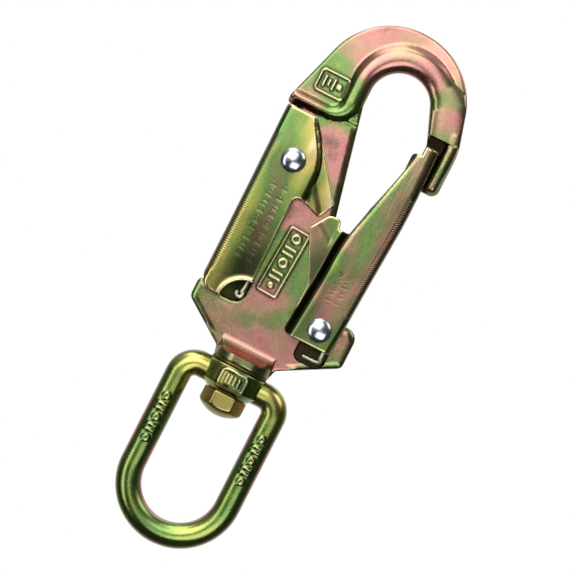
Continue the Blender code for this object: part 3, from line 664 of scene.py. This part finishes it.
# Painted shade, darkest low on the wall near the cut-out
LEVER_SHADE = [
    (-24, -30, 0), (-24, -60, 0), (-24, -78, 0), (-24, -92, 0.1), (-20.5, -30, 0.05), (-20.5, -44, 0.28),
    (-20.5, -60, 0.25), (-20.5, -75, 0.45), (-20, -90, 0.8), (-16.5, -28, 0), (-16.5, -37, 0.05),
    (-16.5, -47, 0.32), (-16.5, -60, 0.45), (-16.5, -74, 0.7), (-16.5, -88, 0.95), (-12.5, -34, 0),
    (-12, -44, 0), (-12, -56, 0.15), (-12, -70, 0.45), (-12, -84, 0.85), (-18.5, -97, 0.7), (-1, -48, 0),
    (-6.5, -50.5, 0.5), (-2.5, -53.5, 0.35), (-6, -38, 0), (-6, -45, 0.3),
]
GATE_FILM = [
    (24.5, -19, 0.58), (27.5, -20, 0.62), (22, -28, 0.46), (25.5, -30, 0.6), (28, -32, 0.52),
    (21, -40, 0.5), (24.5, -42, 0.64), (27.5, -44, 0.56), (19, -50, 0.42), (22, -52, 0.48),
    (26, -54, 0.64), (17, -60, 0.62), (20.5, -59, 0.36), (24, -62, 0.44), (27, -62, 0.66),
    (16, -72, 0.36), (19, -71, 0.64), (22.5, -70, 0.42), (25.5, -72, 0.64), (16, -82, 0.64),
    (19.5, -81, 0.72), (23, -79, 0.66), (25.5, -84, 0.58), (18, -89, 0.72), (23.5, -89, 0.62),
    (14.5, -95, 0.42), (25, -97, 0.38), (18, -99, 0.42), (6.5, -57, 0.4), (3, -62, 0.68),
    (6.5, -66, 0.58), (8, -76, 0.48),
]
# Painted shade: a dark streak near the spine's top and darker spots on the wing and low on the wall
GATE_SHADE = [
    (26.5, -42, 0.45), (25, -30, 0.05), (25, -20, 0), (21, -45, 0.05), (26.5, -56, 0.3), (21, -58, 0),
    (17, -66, 0), (22, -72, 0), (26, -72, 0.2), (17, -89, 0.35), (20, -82, 0), (24, -90, 0), (21, -98, 0),
    (6, -60, 0.18), (4, -66, 0.35), (8.5, -72, 0.55),
]


def pip_rows(middle, columns, width, pitch, low, high):
    """1 on rows of faint pips, which stand in for stamped lines of writing."""
    x, z = middle[:, 0], middle[:, 2]
    column = np.min([np.abs(x - place) for place in columns], axis=0)
    row = np.abs((z % pitch) - pitch / 2)
    length = width * (0.62 + 0.38 * np.sin(2.4 * np.floor(z / pitch)))
    within = smooth_step(z, low, low + 1) * (1 - smooth_step(z, high - 1, high))
    return smooth_step(length - column, 0, 0.4) * smooth_step(-row, -pitch * 0.28, -pitch * 0.10) * within


def lever_pips(points, middle):
    return pip_rows(middle, (-19.2, -14.8), 1.4, 1.35, -84, -52) * (points[:, 0] > 0)


def gate_pips(points, middle):
    return pip_rows(middle, (17.8, 21.0), 1.1, 1.35, -85, -70) * (points[:, 0] > 0)


def cut_out_lip(points, middle):
    """1 on the rolled lip round the lever's cut-out, on the front."""
    reach = np.hypot(middle[:, 0] - CUT_OUT_CENTRE[0], middle[:, 2] - CUT_OUT_CENTRE[1]) - CUT_OUT_RADIUS
    return (1 - smooth_step(reach, 1.2, 2.1)) * (points[:, 0] > 0)


def arm_crease(middle):
    """1 on the facet that leads down to the arm's tip."""
    x, z = middle[:, 0], middle[:, 2]
    across = (x + 6.6) * 0.79 + (z + 45.7) * 0.61
    return smooth_step(-across, -0.2, 2.4) * smooth_step(x, -7.6, -5.0) * (1 - smooth_step(z, -48, -44))


def lever_relief(points, middle):
    return 0.3 * cut_out_lip(points, middle) - 0.3 * arm_crease(middle) - 0.06 * lever_pips(points, middle)


def wing_crease(middle):
    x, z = middle[:, 0], middle[:, 2]
    return smooth_step((x - 5.0) * 0.6 + (z + 61.5) * 0.8, -1.6, 1.6) * (1 - smooth_step(x, 8.5, 9.5))


def gate_relief(points, middle):
    return -0.25 * wing_crease(middle) - 0.05 * gate_pips(points, middle)


def make_lever():
    channel = Channel(LEVER_ROWS, -1, 1.5, 0.85)
    wall_top = [
        (-16.6, LEVER_TOP, 0.5), (-6.9, -36.9, 0.0), (4.0, -51.3, 0.5), (0.7, -58.1, 1.5), (-6.9, -55.2, 1.1),
        (-10.1, -55.2, 1.5),
    ]
    cut_out = [(-9.7, -90.2, 0.4), (-18.6, -90.2, CUT_OUT_RADIUS), (-18.6, LEVER_BOTTOM, 0.4)]
    plain_foot = [(-9.7, LEVER_BOTTOM, 2.0)]
    foot = [(SPINE_FLAT + 3.5, LEVER_BOTTOM, 3.5), (SPINE_FLAT, LEVER_SPINE_BOTTOM, 1.5)]

    front = [*channel.unroll(wall_top + cut_out), *foot, (0.0, LEVER_SPINE_BOTTOM, 0.0)]
    back = [*channel.unroll(wall_top + plain_foot), *foot, (0.0, LEVER_SPINE_BOTTOM, 0.0)]
    loop = both_walls(front, back)

    def paint(points, middle, depth):
        flat = middle[:, [0, 2]]
        film = blend_patches(flat, LEVER_FILM, 1.7, 4.5) + 0.04 * waviness(flat[:, 0], flat[:, 1], 2.3)
        lip = cut_out_lip(points, middle)
        # Painted highlight along the edges and on the cut-out's lip; the pips are lighter too
        edge = np.maximum(np.clip(1.5 - depth / 0.8, 0, 1), lip)
        edge = np.maximum(edge, 0.35 * lever_pips(points, middle))
        # Painted shade from the spots, fading at the edges and off the lip
        shade = blend_patches(flat, LEVER_SHADE, 1.9, 5.0) * (1 - lip) * smooth_step(depth, 0.2, 1.2)
        return film, edge, shade

    return make_channel("pressed_lever", channel, loop, LEVER_TEETH, 0.6, lever_relief, paint)


def make_gate():
    channel = Channel(GATE_ROWS, 1, 4.7, 0.93)
    free_edge = [
        (24.2, GATE_TOP, 0.5), (24.2, -20.9, 0.3), (21.3, -20.9, 1.8), (21.3, -28.2, 2.0), (16.6, -46.4, 0.0),
        (13.9, -58.4, 0.6), (9.5, -58.4, 0.6), (8.9, -54.6, 2.2), (4.0, -55.3, 3.3), (-0.5, -62.4, 1.1),
        (8.2, -81.0, 0.7), (7.7, -100.4, 3.3), (12.0, GATE_BOTTOM, 1.1),
    ]
    top = [(SPINE_FLAT, GATE_SPINE_TOP, 2.0), (SPINE_FLAT, GATE_TOP, 0.8)]
    foot = [(SPINE_FLAT, GATE_BOTTOM, 1.2), (SPINE_FLAT, GATE_SPINE_BOTTOM, 2.0)]
    half = [*top, *channel.unroll(free_edge), *foot]
    loop = both_walls(half, half)

    def paint(points, middle, depth):
        flat = middle[:, [0, 2]]
        film = blend_patches(flat, GATE_FILM, 1.7, 4.0) + 0.05 * waviness(flat[:, 0], flat[:, 1], 2.0)
        # Painted shade from the spots and darker pips; the edges get a painted highlight
        shade = np.maximum(blend_patches(flat, GATE_SHADE, 2.2, 4.5), 0.45 * gate_pips(points, middle))
        return film, np.clip(1.35 - depth / 0.7, 0, 1), shade * smooth_step(depth, 0.1, 0.8)

    return make_channel("pressed_gate", channel, loop, GATE_TEETH, 0.45, gate_relief, paint)


# ---- eye


def sweep(centres, radius, sides):
    """Points and faces of a round bar along points in space, with its ends closed."""
    centres = np.asarray(centres, float)
    ahead = np.gradient(centres, axis=0)
    ahead /= np.linalg.norm(ahead, axis=1)[:, None]
    side = np.array((0.0, 1.0, 0.0))
    if abs(ahead[0] @ side) > 0.9:
        side = np.array((1.0, 0.0, 0.0))
    angles = np.arange(sides) * 2 * math.pi / sides
    rings = []
    for centre, way in zip(centres, ahead):
        side = side - way * (side @ way)
        side /= np.linalg.norm(side)
        other = np.cross(way, side)
        rings.append(centre + radius * (np.cos(angles)[:, None] * side + np.sin(angles)[:, None] * other))
    points = np.concatenate([*rings, centres[:1], centres[-1:]])
    first, last = len(points) - 2, len(points) - 1
    end = (len(centres) - 1) * sides
    faces = grid_faces(len(centres), sides)
    for column in range(sides):
        after = (column + 1) % sides
        faces.append((after, column, first))
        faces.append((end + column, end + after, last))
    return points, faces


def smooth_path(corner_points, step):
    """Points a step apart along straight runs and arcs already given closely."""
    points = np.asarray(corner_points, float)
    travelled = np.concatenate([[0], np.cumsum(np.linalg.norm(np.diff(points, axis=0), axis=1))])
    wanted = np.linspace(0, travelled[-1], max(2, round(travelled[-1] / step)))
    return np.stack([np.interp(wanted, travelled, points[:, axis]) for axis in range(3)], axis=1)


def arc_points(centre, radius, first, last, steps):
    """Points (x, z) along an arc, from one angle in degrees to another."""
    angles = np.radians(np.linspace(first, last, steps + 1))
    return [(centre[0] + radius * math.cos(a), centre[1] + radius * math.sin(a)) for a in angles]


def eye_path():
    shoulder_centre = (EYE_SHOULDER_RADIUS - EYE_HALF_WIDTH, EYE_SHOULDER - EYE_SHOULDER_RADIUS)
    left = [(-8.0, EYE_SHOULDER), *arc_points(shoulder_centre, EYE_SHOULDER_RADIUS, 90, 180, 30)]
    foot = arc_points((0.0, EYE_FOOT_CENTRE), EYE_HALF_WIDTH, 180, 360, 90)
    right = [(-x, z) for x, z in reversed(left)]
    return [(x, 0.0, z) for x, z in left + foot + right]


def turned(profile, segments=96):
    """Points and faces of a closed profile (radius, height) turned round the Z axis."""
    radius, height = np.asarray(profile, float).T
    if np.sum(radius * np.roll(height, -1) - np.roll(radius, -1) * height) > 0:
        radius, height = radius[::-1], height[::-1]
    angles = np.arange(segments) * 2 * math.pi / segments
    rings = [np.stack([radius * math.cos(a), radius * math.sin(a), height], axis=1) for a in angles]
    return np.concatenate(rings), grid_faces(segments, len(radius), close_rows=True)


def leg_marks(points, side, top):
    """Signed distance to plain rings and bars down the front of one leg."""
    nearest = np.full(len(points), 9.0)
    for number, offset in enumerate((0, 3.2, 5.2, 8.6, 11.8, 13.8, 17.0)):
        half = (2.1, 0.5) if number % 3 else (1.4, 1.4)
        shape = box_distance(points, (side * EYE_HALF_WIDTH, top - offset), half, min(half))
        if number % 3 == 0:
            shape = np.abs(shape + 0.4) - 0.4
        nearest = np.minimum(nearest, shape)
    return nearest


def make_eye():
    """The bent bar and the collar, which is one forging with it."""
    centres = smooth_path(eye_path(), 0.4)
    sides = 80
    points, faces = sweep(centres, EYE_BAR_RADIUS, sides)
    facing = np.append(-points[:-2, 1] / EYE_BAR_RADIUS, (0.0, 0.0))
    depth = np.abs(facing)
    flat = points[:, [0, 2]]
    marks = np.minimum(leg_marks(flat, -1, LEG_MARK_TOPS[0]), leg_marks(flat, 1, LEG_MARK_TOPS[1]))
    marks = np.where(facing > 0, marks, 9.0)
    points[:, 1] -= LEG_MARK_RELIEF * smooth_step(-marks, -0.25, 0.2)
    # Painted shade: the film turns toward dark rose and brown on the bar's sides, away from the front
    drift = 0.60 + 0.40 * np.sin(flat[:, 0] / 4 + flat[:, 1] / 6.5)
    shaded_sides = drift * (1 - smooth_step(depth, 0.32, 0.78))
    film = 0.35 + 0.52 * shaded_sides + 0.06 * np.sin(flat[:, 0] / 6 + flat[:, 1] / 11)
    film = np.minimum(film - 0.13 * smooth_step(flat[:, 1], -134, -122), 0.87)
    # Painted highlight on the raised marks and painted shade round them
    bar_edge = 0.3 * smooth_step(-marks, -0.1, 0.15)
    bar_shade = 0.5 * np.exp(-(((marks - 0.35) / 0.4) ** 2))

    collar = rounded([
        (BORE_RADIUS, COLLAR_TOP, 0.3), (COLLAR_RADIUS, COLLAR_TOP, 1.3),
        (COLLAR_RADIUS, COLLAR_BOTTOM + 2.5, 1.2), (COLLAR_RADIUS - 3.2, COLLAR_BOTTOM, 0.8),
        (BORE_RADIUS, COLLAR_BOTTOM, 0.3),
    ], 0.2)
    ring_points, ring_faces = turned(collar, 240)
    flat = ring_points[:, [0, 2]]
    border = np.abs(box_distance(flat, (0.0, COLLAR_MARKS_HEIGHT), (5.0, 3.4), 1.6)) - 0.45
    for offset in (-2.4, -0.8, 0.8, 2.4):
        bar = box_distance(flat, (offset, COLLAR_MARKS_HEIGHT), (0.4, 1.7), 0.4)
        border = np.minimum(border, bar)
    border = np.where(ring_points[:, 1] < -3, border, 9.0)
    ring_points[:, 1] -= COLLAR_MARKS_RELIEF * smooth_step(-border, -0.3, 0.2)
    ring_film = 0.32 + 0.10 * np.sin(flat[:, 0] / 3)
    # Painted highlight on the raised marks and painted shade round them
    ring_edge = 0.85 * smooth_step(-border, -0.1, 0.15)
    ring_shade = 0.7 * np.exp(-(((border - 0.35) / 0.35) ** 2))

    faces = faces + [tuple(index + len(points) for index in face) for face in ring_faces]
    return make_object(
        "forged_eye", np.concatenate([points, ring_points]), faces, np.concatenate([film, ring_film]),
        np.concatenate([bar_edge, ring_edge]), np.concatenate([bar_shade, ring_shade]),
    )


# ---- nut, washers, rivets, springs


def make_nut():
    """A hexagon with a domed foot: along each direction from its middle, the nearest face, edges eased."""
    middle = (NUT_TOP + NUT_BOTTOM) / 2
    half = (NUT_TOP - NUT_BOTTOM) / 2
    rows, columns = 120, 240
    tilt = np.linspace(0.01, math.pi - 0.01, rows)
    around = np.arange(columns) * 2 * math.pi / columns
    tilt, around = np.meshgrid(tilt, around, indexing="ij")
    way = np.stack([np.sin(tilt) * np.cos(around), np.sin(tilt) * np.sin(around), np.cos(tilt)], axis=-1)
    way = way.reshape(-1, 3)
    sharpness = 26
    total = (np.clip(way[:, 2], 0, None) / half) ** sharpness
    for number in range(6):
        angle = math.radians(60 * number + 90)
        facing = way @ np.array([math.cos(angle), math.sin(angle), 0.0])
        total += (np.clip(facing, 0, None) / (NUT_ACROSS_FLATS / 2)) ** sharpness
    sphere_middle = NUT_DOME_RADIUS - half
    lift = way[:, 2] * sphere_middle
    ray = lift + np.sqrt(np.clip(lift**2 - sphere_middle**2 + NUT_DOME_RADIUS**2, 0.01, None))
    total += (1 / ray) ** sharpness
    points = way * (total ** (-1 / sharpness))[:, None] + (0, 0, middle)
    faces = [face[::-1] for face in grid_faces(rows, columns)]
    faces.append(tuple(range(columns)))
    faces.append(tuple(reversed(range((rows - 1) * columns, rows * columns))))
    film = np.full(len(points), 0.17)
    shade = np.full(len(points), 0.24)
    return make_object("hex_nut", points, faces, film, np.zeros(len(points)), shade)


def make_shank():
    """The forging's shank, which runs from the neck through the collar into the nut."""
    top = NECK_BOTTOM + 1.0
    corners = [(0.02, SHANK_BOTTOM, 0.0), (0.02, top, 0.0), (SHANK_RADIUS, top, 0.0)]
    points, faces = turned(rounded([*corners, (SHANK_RADIUS, SHANK_BOTTOM, 0.8)]))
    return make_object("swivel_shank", points, faces)


def make_washer(name, top, radius):
    foot = top - WASHER_THICKNESS
    corners = [(BORE_RADIUS, foot, 0.1), (BORE_RADIUS, top, 0.1), (radius, top, 0.15), (radius, foot, 0.15)]
    points, faces = turned(rounded(corners, 0.1))
    return make_object(name, points, faces)


def lay_along_y(points, pivot):
    """Stand a turned shape's axis along Y through a pivot."""
    return np.stack([points[:, 0] + pivot[0], -points[:, 2], points[:, 1] + pivot[1]], axis=1)


def make_bush(name, pivot):
    corners = [(2.7, -6.9, 0.2), (3.9, -6.9, 0.3), (3.9, 6.9, 0.3), (2.7, 6.9, 0.2)]
    points, faces = turned(rounded(corners, 0.3), 64)
    return make_object(name, lay_along_y(points, pivot), faces)


def make_rivet(name, pivot):
    """A solid rivet with a smooth domed head on each side."""
    dome = []
    for number in range(25):
        angle = math.radians(90 - 84 * number / 24)
        height = RIVET_HEAD_SEAT + 0.2 + (RIVET_HEAD_HEIGHT - 0.2) * math.sin(angle)
        dome.append((RIVET_HEAD_RADIUS * math.cos(angle) + 0.02, height))
    dome.append((RIVET_HEAD_RADIUS - 0.1, RIVET_HEAD_SEAT))
    dome.append((RIVET_RADIUS, RIVET_HEAD_SEAT))
    profile = dome + [(radius, -height) for radius, height in reversed(dome)]
    points, faces = turned(profile)
    return make_object(name, lay_along_y(points, pivot), faces)


def coil(pivot, depth, pitch, turns):
    """Points of a coil round a pivot, anticlockwise from its right side as seen from the front."""
    angles = np.linspace(0, turns * 2 * math.pi, round(turns * 48) + 1)
    x = pivot[0] + COIL_RADIUS * np.cos(angles)
    z = pivot[1] + COIL_RADIUS * np.sin(angles)
    return [tuple(p) for p in np.stack([x, depth - pitch * angles / (2 * math.pi), z], axis=1)]


def rounded_wire(points, passes=3):
    """Corner-cutting: each pass replaces a corner by two points, which bends a wire smoothly."""
    points = np.asarray(points, float)
    for _ in range(passes):
        ahead = points[:-1] * 0.75 + points[1:] * 0.25
        behind = points[:-1] * 0.25 + points[1:] * 0.75
        points = np.concatenate([points[:1], np.stack([ahead, behind], axis=1).reshape(-1, 3), points[-1:]])
    return points


def make_wire(name, path, radius):
    points, faces = sweep(smooth_path(path, 0.35), radius, 20)
    return make_object(name, points, faces)


def make_gate_spring():
    turns = coil(GATE_PIVOT, GATE_COIL_DEPTH, 1.75, 1)
    x = turns[0][0]
    low = [
        (18.4, -2.4, -105.3), (24.0, -2.5, -105.3), (25.2, -2.8, -104.9), (x, -3.6, -103.0),
        (x, GATE_COIL_DEPTH, -100.5),
    ]
    high = [(x, -5.85, -88.0), (x + 0.4, -5.7, -79.0), (x + 0.8, -5.3, -74.0)]
    path = np.concatenate([rounded_wire(low + turns[:1]), turns[1:-1], rounded_wire(turns[-1:] + high)])
    return make_wire("gate_spring_wire", path, GATE_WIRE_RADIUS)


def make_lever_spring():
    turns = coil(LEVER_PIVOT, LEVER_COIL_DEPTH, 1.35, 1.5)
    ring = arc_points(LEVER_LOOP_CENTRE, LEVER_LOOP_RADIUS, -210, 70.8, 39)
    loop = [(x, LEVER_LEG_DEPTH, z) for x, z in ring]
    leg = [(x, LEVER_LEG_DEPTH, z) for x, z in ((-11.4, -92.5), (-11.8, -87.0), (-11.8, -56.0))]
    leg.append((-11.8, LEVER_COIL_DEPTH, -48.0))
    x, y, _ = turns[-1]
    high = [(x - 0.4, y, -48.0), (x - 2.2, y, -56.0), (x - 2.9, y, -63.0)]
    low = rounded_wire(loop[-1:] + leg + turns[:1])[1:]
    path = np.concatenate([loop, low, turns[1:-1], rounded_wire(turns[-1:] + high)])
    return make_wire("lever_spring_wire", path, LEVER_WIRE_RADIUS)


# ---- materials


def add_node(tree, kind, sockets, **settings):
    """A node with its settings, its inputs set to a value or linked to another node's output."""
    node = tree.nodes.new(kind)
    for label, setting in settings.items():
        setattr(node, label, setting)
    for socket, value in sockets.items():
        if isinstance(value, bpy.types.NodeSocket):
            tree.links.new(value, node.inputs[socket])
        else:
            node.inputs[socket].default_value = value
    return node


def new_material(name):
    surface = bpy.data.materials.new(name)
    surface.use_nodes = True
    return surface, surface.node_tree, surface.node_tree.nodes["Principled BSDF"]


def noise(tree, scale, detail, stretch=(1.0, 1.0, 1.0)):
    place = add_node(tree, "ShaderNodeTexCoord", {}).outputs["Object"]
    stretched = add_node(tree, "ShaderNodeMapping", {"Vector": place, "Scale": stretch}).outputs["Vector"]
    sockets = {"Vector": stretched, "Scale": scale, "Detail": detail}
    return add_node(tree, "ShaderNodeTexNoise", sockets).outputs["Fac"]


def map_range(tree, source, low, high):
    sockets = {"Value": source, "To Min": low, "To Max": high}
    return add_node(tree, "ShaderNodeMapRange", sockets).outputs["Result"]


def add(tree, first, second):
    return add_node(tree, "ShaderNodeMath", {0: first, 1: second}, operation="ADD").outputs["Value"]


def scaled(tree, source, amount):
    node = add_node(tree, "ShaderNodeMath", {0: source, 1: amount}, operation="MULTIPLY", use_clamp=True)
    return node.outputs["Value"]


def attribute(tree, name):
    return add_node(tree, "ShaderNodeAttribute", {}, attribute_name=name).outputs["Fac"]


def ramp(tree, source, stops):
    colours = add_node(tree, "ShaderNodeValToRGB", {"Fac": source})
    elements = colours.color_ramp.elements
    while len(elements) < len(stops):
        elements.new(0.5)
    for element, (place, colour) in zip(elements, stops):
        element.position = place
        element.color = (*colour, 1.0)
    return colours.outputs["Color"]


def mixed(tree, factor, under, over):
    """Lay one plain colour over a colour socket, by a factor socket."""
    sockets = {"Factor": factor, "A": under, "B": (*over, 1.0)}
    return add_node(tree, "ShaderNodeMix", sockets, data_type="RGBA").outputs["Result"]


def bump(tree, shader, source, strength, distance):
    sockets = {"Height": source, "Strength": strength, "Distance": distance}
    relief = add_node(tree, "ShaderNodeBump", sockets)
    tree.links.new(relief.outputs["Normal"], shader.inputs["Normal"])


# At 1.00 the ramp is the orange of the painted reflection in the neck's cove
CHROMATE = [
    (0.00, (0.76, 0.68, 0.42)), (0.14, (0.54, 0.43, 0.13)), (0.28, (0.33, 0.37, 0.09)),
    (0.42, (0.16, 0.29, 0.08)), (0.55, (0.28, 0.26, 0.12)), (0.68, (0.46, 0.27, 0.18)),
    (0.82, (0.54, 0.23, 0.21)), (0.91, (0.25, 0.15, 0.11)), (1.00, (0.80, 0.20, 0.07)),
]
# Cream of the painted highlight on edges, lips and crests
HIGHLIGHT_CREAM = (0.84, 0.72, 0.40)
# Near-black of the painted shade
PAINTED_SHADE_COLOUR = (0.014, 0.009, 0.006)


def plating(name, roughness, drift, edge_highlight, stretch=(1.0, 1.0, 1.0)):
    """Yellow chromate: a film whose colour drifts between gold, green and rose over bright zinc."""
    surface, tree, shader = new_material(name)
    slow = map_range(tree, noise(tree, 170.0, 3.0, stretch), -drift * 2, drift * 2)
    fine = map_range(tree, noise(tree, 700.0, 4.0, stretch), -drift, drift)
    film = add(tree, add(tree, attribute(tree, "film"), slow), fine)
    colour = ramp(tree, film, CHROMATE)
    # Painted highlight: the edge attribute lays cream on rounded edges, lips, teeth crests and raised marks
    colour = mixed(tree, scaled(tree, attribute(tree, "edge"), edge_highlight), colour, HIGHLIGHT_CREAM)
    # Painted shade: the shade attribute darkens the colour in hollows, grooves, bends and inner faces
    colour = mixed(tree, scaled(tree, attribute(tree, "shade"), 1.0), colour, PAINTED_SHADE_COLOUR)
    rough = map_range(tree, noise(tree, 260.0, 3.0, stretch), roughness - 0.05, roughness + 0.08)
    # The coat fades under the painted shade, so those parts stay dark
    coat = map_range(tree, attribute(tree, "shade"), 0.15, 0.0)
    for source, socket in ((colour, "Base Color"), (rough, "Roughness"), (coat, "Coat Weight")):
        tree.links.new(source, shader.inputs[socket])
    shader.inputs["Metallic"].default_value = 1.0
    shader.inputs["Coat Roughness"].default_value = 0.15
    bump(tree, shader, noise(tree, 1100.0, 3.0, stretch), 0.05, 0.0003)
    return surface


def bright_metal(name, colour, roughness, scale):
    """Bare metal with a faint streaked polish."""
    surface, tree, shader = new_material(name)
    dull = tuple(0.72 * channel for channel in colour)
    base = ramp(tree, noise(tree, scale, 4.0), [(0.3, dull), (0.7, colour)])
    rough = map_range(tree, noise(tree, scale * 2, 3.0), roughness * 0.6, roughness * 1.5)
    tree.links.new(base, shader.inputs["Base Color"])
    tree.links.new(rough, shader.inputs["Roughness"])
    shader.inputs["Metallic"].default_value = 1.0
    bump(tree, shader, noise(tree, scale * 3, 4.0), 0.06, 0.0003)
    return surface


# ---- studio


LEAN = math.radians(27)
IMAGE_UP = Vector((-math.sin(LEAN), 0.0, math.cos(LEAN)))
IMAGE_RIGHT = Vector((math.cos(LEAN), 0.0, math.sin(LEAN)))
LOOK_AT = Vector((0.00255, 0.0, -0.0858))
# name, metres toward the camera, up and right from the object, size, watts
SOFTBOXES = [
    ("softbox_key", 0.80, 0.46, -0.10, (0.80, 0.66), 5.2),
    ("softbox_low", 0.84, -0.42, 0.10, (0.66, 0.50), 2.7),
    ("softbox_top", 0.22, 0.86, 0.00, (0.90, 0.50), 3.8),
    ("softbox_left", 0.62, 0.05, -0.70, (0.30, 0.80), 1.9),
    ("softbox_right", 0.26, 0.40, 0.80, (0.50, 0.50), 1.7),
]


def image_place(toward, up, right):
    """A place given from the object's middle in the camera's directions."""
    return LOOK_AT + Vector((0.0, -toward, 0.0)) + IMAGE_UP * up + IMAGE_RIGHT * right


def area_light(name, place, size, power):
    """A softbox that faces the object, hidden from the camera and seen in reflections."""
    data = bpy.data.lights.new(name, "AREA")
    data.shape = "RECTANGLE"
    data.size, data.size_y = size
    data.energy = power
    light = bpy.data.objects.new(name, data)
    light.location = place
    light.rotation_euler = (LOOK_AT - place).to_track_quat("-Z", "Y").to_euler()
    light.visible_camera = False
    bpy.context.scene.collection.objects.link(light)


# direction, where its glow starts and is full, strength
GLOWS = [
    (Vector((0.0, 1.0, 0.0)), 0.18, 0.85, 0.90),
    (IMAGE_UP, 0.30, 0.90, 0.40),
    ((Vector((0.0, 0.35, 0.0)) + IMAGE_UP * 0.75 + IMAGE_RIGHT * 0.55).normalized(), 0.76, 0.97, 0.65),
]


def make_world():
    """White behind the object for the camera. In reflections it is pale behind and above, and dark beside."""
    world = bpy.data.worlds.new("studio")
    bpy.context.scene.world = world
    world.use_nodes = True
    tree = world.node_tree
    tree.nodes.clear()
    place = add_node(tree, "ShaderNodeTexCoord", {}).outputs["Generated"]
    total = None
    for direction, start, end, strength in GLOWS:
        along = add_node(tree, "ShaderNodeVectorMath", {0: place, 1: direction}, operation="DOT_PRODUCT")
        sockets = {"Value": along.outputs["Value"], "From Min": start, "From Max": end}
        sockets |= {"To Min": 0.02, "To Max": strength}
        glow = add_node(tree, "ShaderNodeMapRange", sockets, interpolation_type="SMOOTHSTEP")
        result = glow.outputs["Result"]
        total = add(tree, total, result) if total else result
    reflected = add_node(tree, "ShaderNodeBackground", {"Strength": total})
    seen = add_node(tree, "ShaderNodeBackground", {"Color": (1.0, 1.0, 1.0, 1.0)})
    by_camera = add_node(tree, "ShaderNodeLightPath", {}).outputs["Is Camera Ray"]
    sockets = {0: by_camera, 1: reflected.outputs["Background"], 2: seen.outputs["Background"]}
    either = add_node(tree, "ShaderNodeMixShader", sockets)
    add_node(tree, "ShaderNodeOutputWorld", {"Surface": either.outputs["Shader"]})


FRAME_WIDTH = 0.210
CAMERA_DISTANCE = 2.5
FLOOR_DROP = 0.10


def make_camera():
    """A long lens straight at the front, rolled so that the hook leans over."""
    data = bpy.data.cameras.new("camera")
    data.sensor_width = 36.0
    data.lens = data.sensor_width * CAMERA_DISTANCE / FRAME_WIDTH
    data.clip_start, data.clip_end = 0.05, 50.0
    camera = bpy.data.objects.new("camera", data)
    camera.location = image_place(CAMERA_DISTANCE, 0.0, 0.0)
    camera.rotation_euler = (math.pi / 2, -LEAN, 0.0)
    camera.rotation_mode = "XYZ"
    bpy.context.scene.collection.objects.link(camera)
    bpy.context.scene.camera = camera


def make_floor():
    """A plain pale disc below the object."""
    low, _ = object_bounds()
    place = (0, 0, low.z - FLOOR_DROP)
    bpy.ops.mesh.primitive_circle_add(vertices=96, radius=0.6, fill_type="NGON", location=place)
    floor = bpy.context.object
    floor.name = "floor"
    surface, tree, shader = new_material("pale_floor")
    shade = ramp(tree, noise(tree, 6.0, 2.0), [(0.3, (0.88, 0.88, 0.87)), (0.7, (0.91, 0.91, 0.90))])
    tree.links.new(shade, shader.inputs["Base Color"])
    shader.inputs["Roughness"].default_value = 0.8
    floor.data.materials.append(surface)
    floor.visible_glossy = False


def dress(piece, surface, body, slot, *nodes):
    """Give a piece its material and its body, and let it stand for its CAD nodes."""
    piece.data.materials.append(surface)
    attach(piece, body)
    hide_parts(*nodes)


def build():
    forged = plating("forged_plating", 0.25, 0.07, 0.8)
    pressed = plating("pressed_plating", 0.21, 0.06, 0.75, (1.0, 1.0, 0.14))
    machined = plating("machined_plating", 0.28, 0.03, 0.4)
    bright = bright_metal("bright_steel", (0.62, 0.68, 0.77), 0.21, 300.0)
    wire = bright_metal("spring_steel", (0.80, 0.78, 0.58), 0.42, 500.0)
    bronze = bright_metal("bearing_bronze", (0.22, 0.14, 0.06), 0.35, 400.0)
    bush_steel = bright_metal("bush_steel", (0.46, 0.42, 0.28), 0.3, 400.0)

    dress(make_forging(), forged, "hook", "forging", "hook_body")
    dress(make_shank(), bush_steel, "hook", "forging", "hook_body")
    dress(make_eye(), forged, "eye", "forging", "swivel_eye")
    dress(make_lever(), pressed, "lever", "stamping", "lock_lever")
    dress(make_gate(), pressed, "gate", "stamping", "gate")
    dress(make_nut(), machined, "hook", "nut", "swivel_nut")
    for side, top, radius in (
        ("upper", NECK_BOTTOM - 0.05, UPPER_WASHER_RADIUS),
        ("lower", COLLAR_BOTTOM + 0.5, LOWER_WASHER_RADIUS),
    ):
        dress(make_washer("thrust_washer_" + side, top, radius), bronze, "hook", "bronze", side + "_washer")
    for side, pivot in (("gate", GATE_PIVOT), ("lever", LEVER_PIVOT)):
        dress(make_bush(side + "_spacer", pivot), bush_steel, "hook", "bush", side + "_bush")
        dress(make_rivet(side + "_domed_rivet", pivot), bright, "hook", "rivet", side + "_rivet")
    for spring, node, body, pivot in (
        (make_gate_spring(), "gate_spring", "gate", GATE_PIVOT),
        (make_lever_spring(), "lever_spring", "lever", LEVER_PIVOT),
    ):
        spring.data.materials.append(wire)
        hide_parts(node)
        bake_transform(spring)

    make_world()
    for name, toward, up, right, size, power in SOFTBOXES:
        area_light(name, image_place(toward, up, right), size, power)
    make_floor()
    make_camera()
    bpy.context.scene.view_settings.view_transform = "Standard"


build()
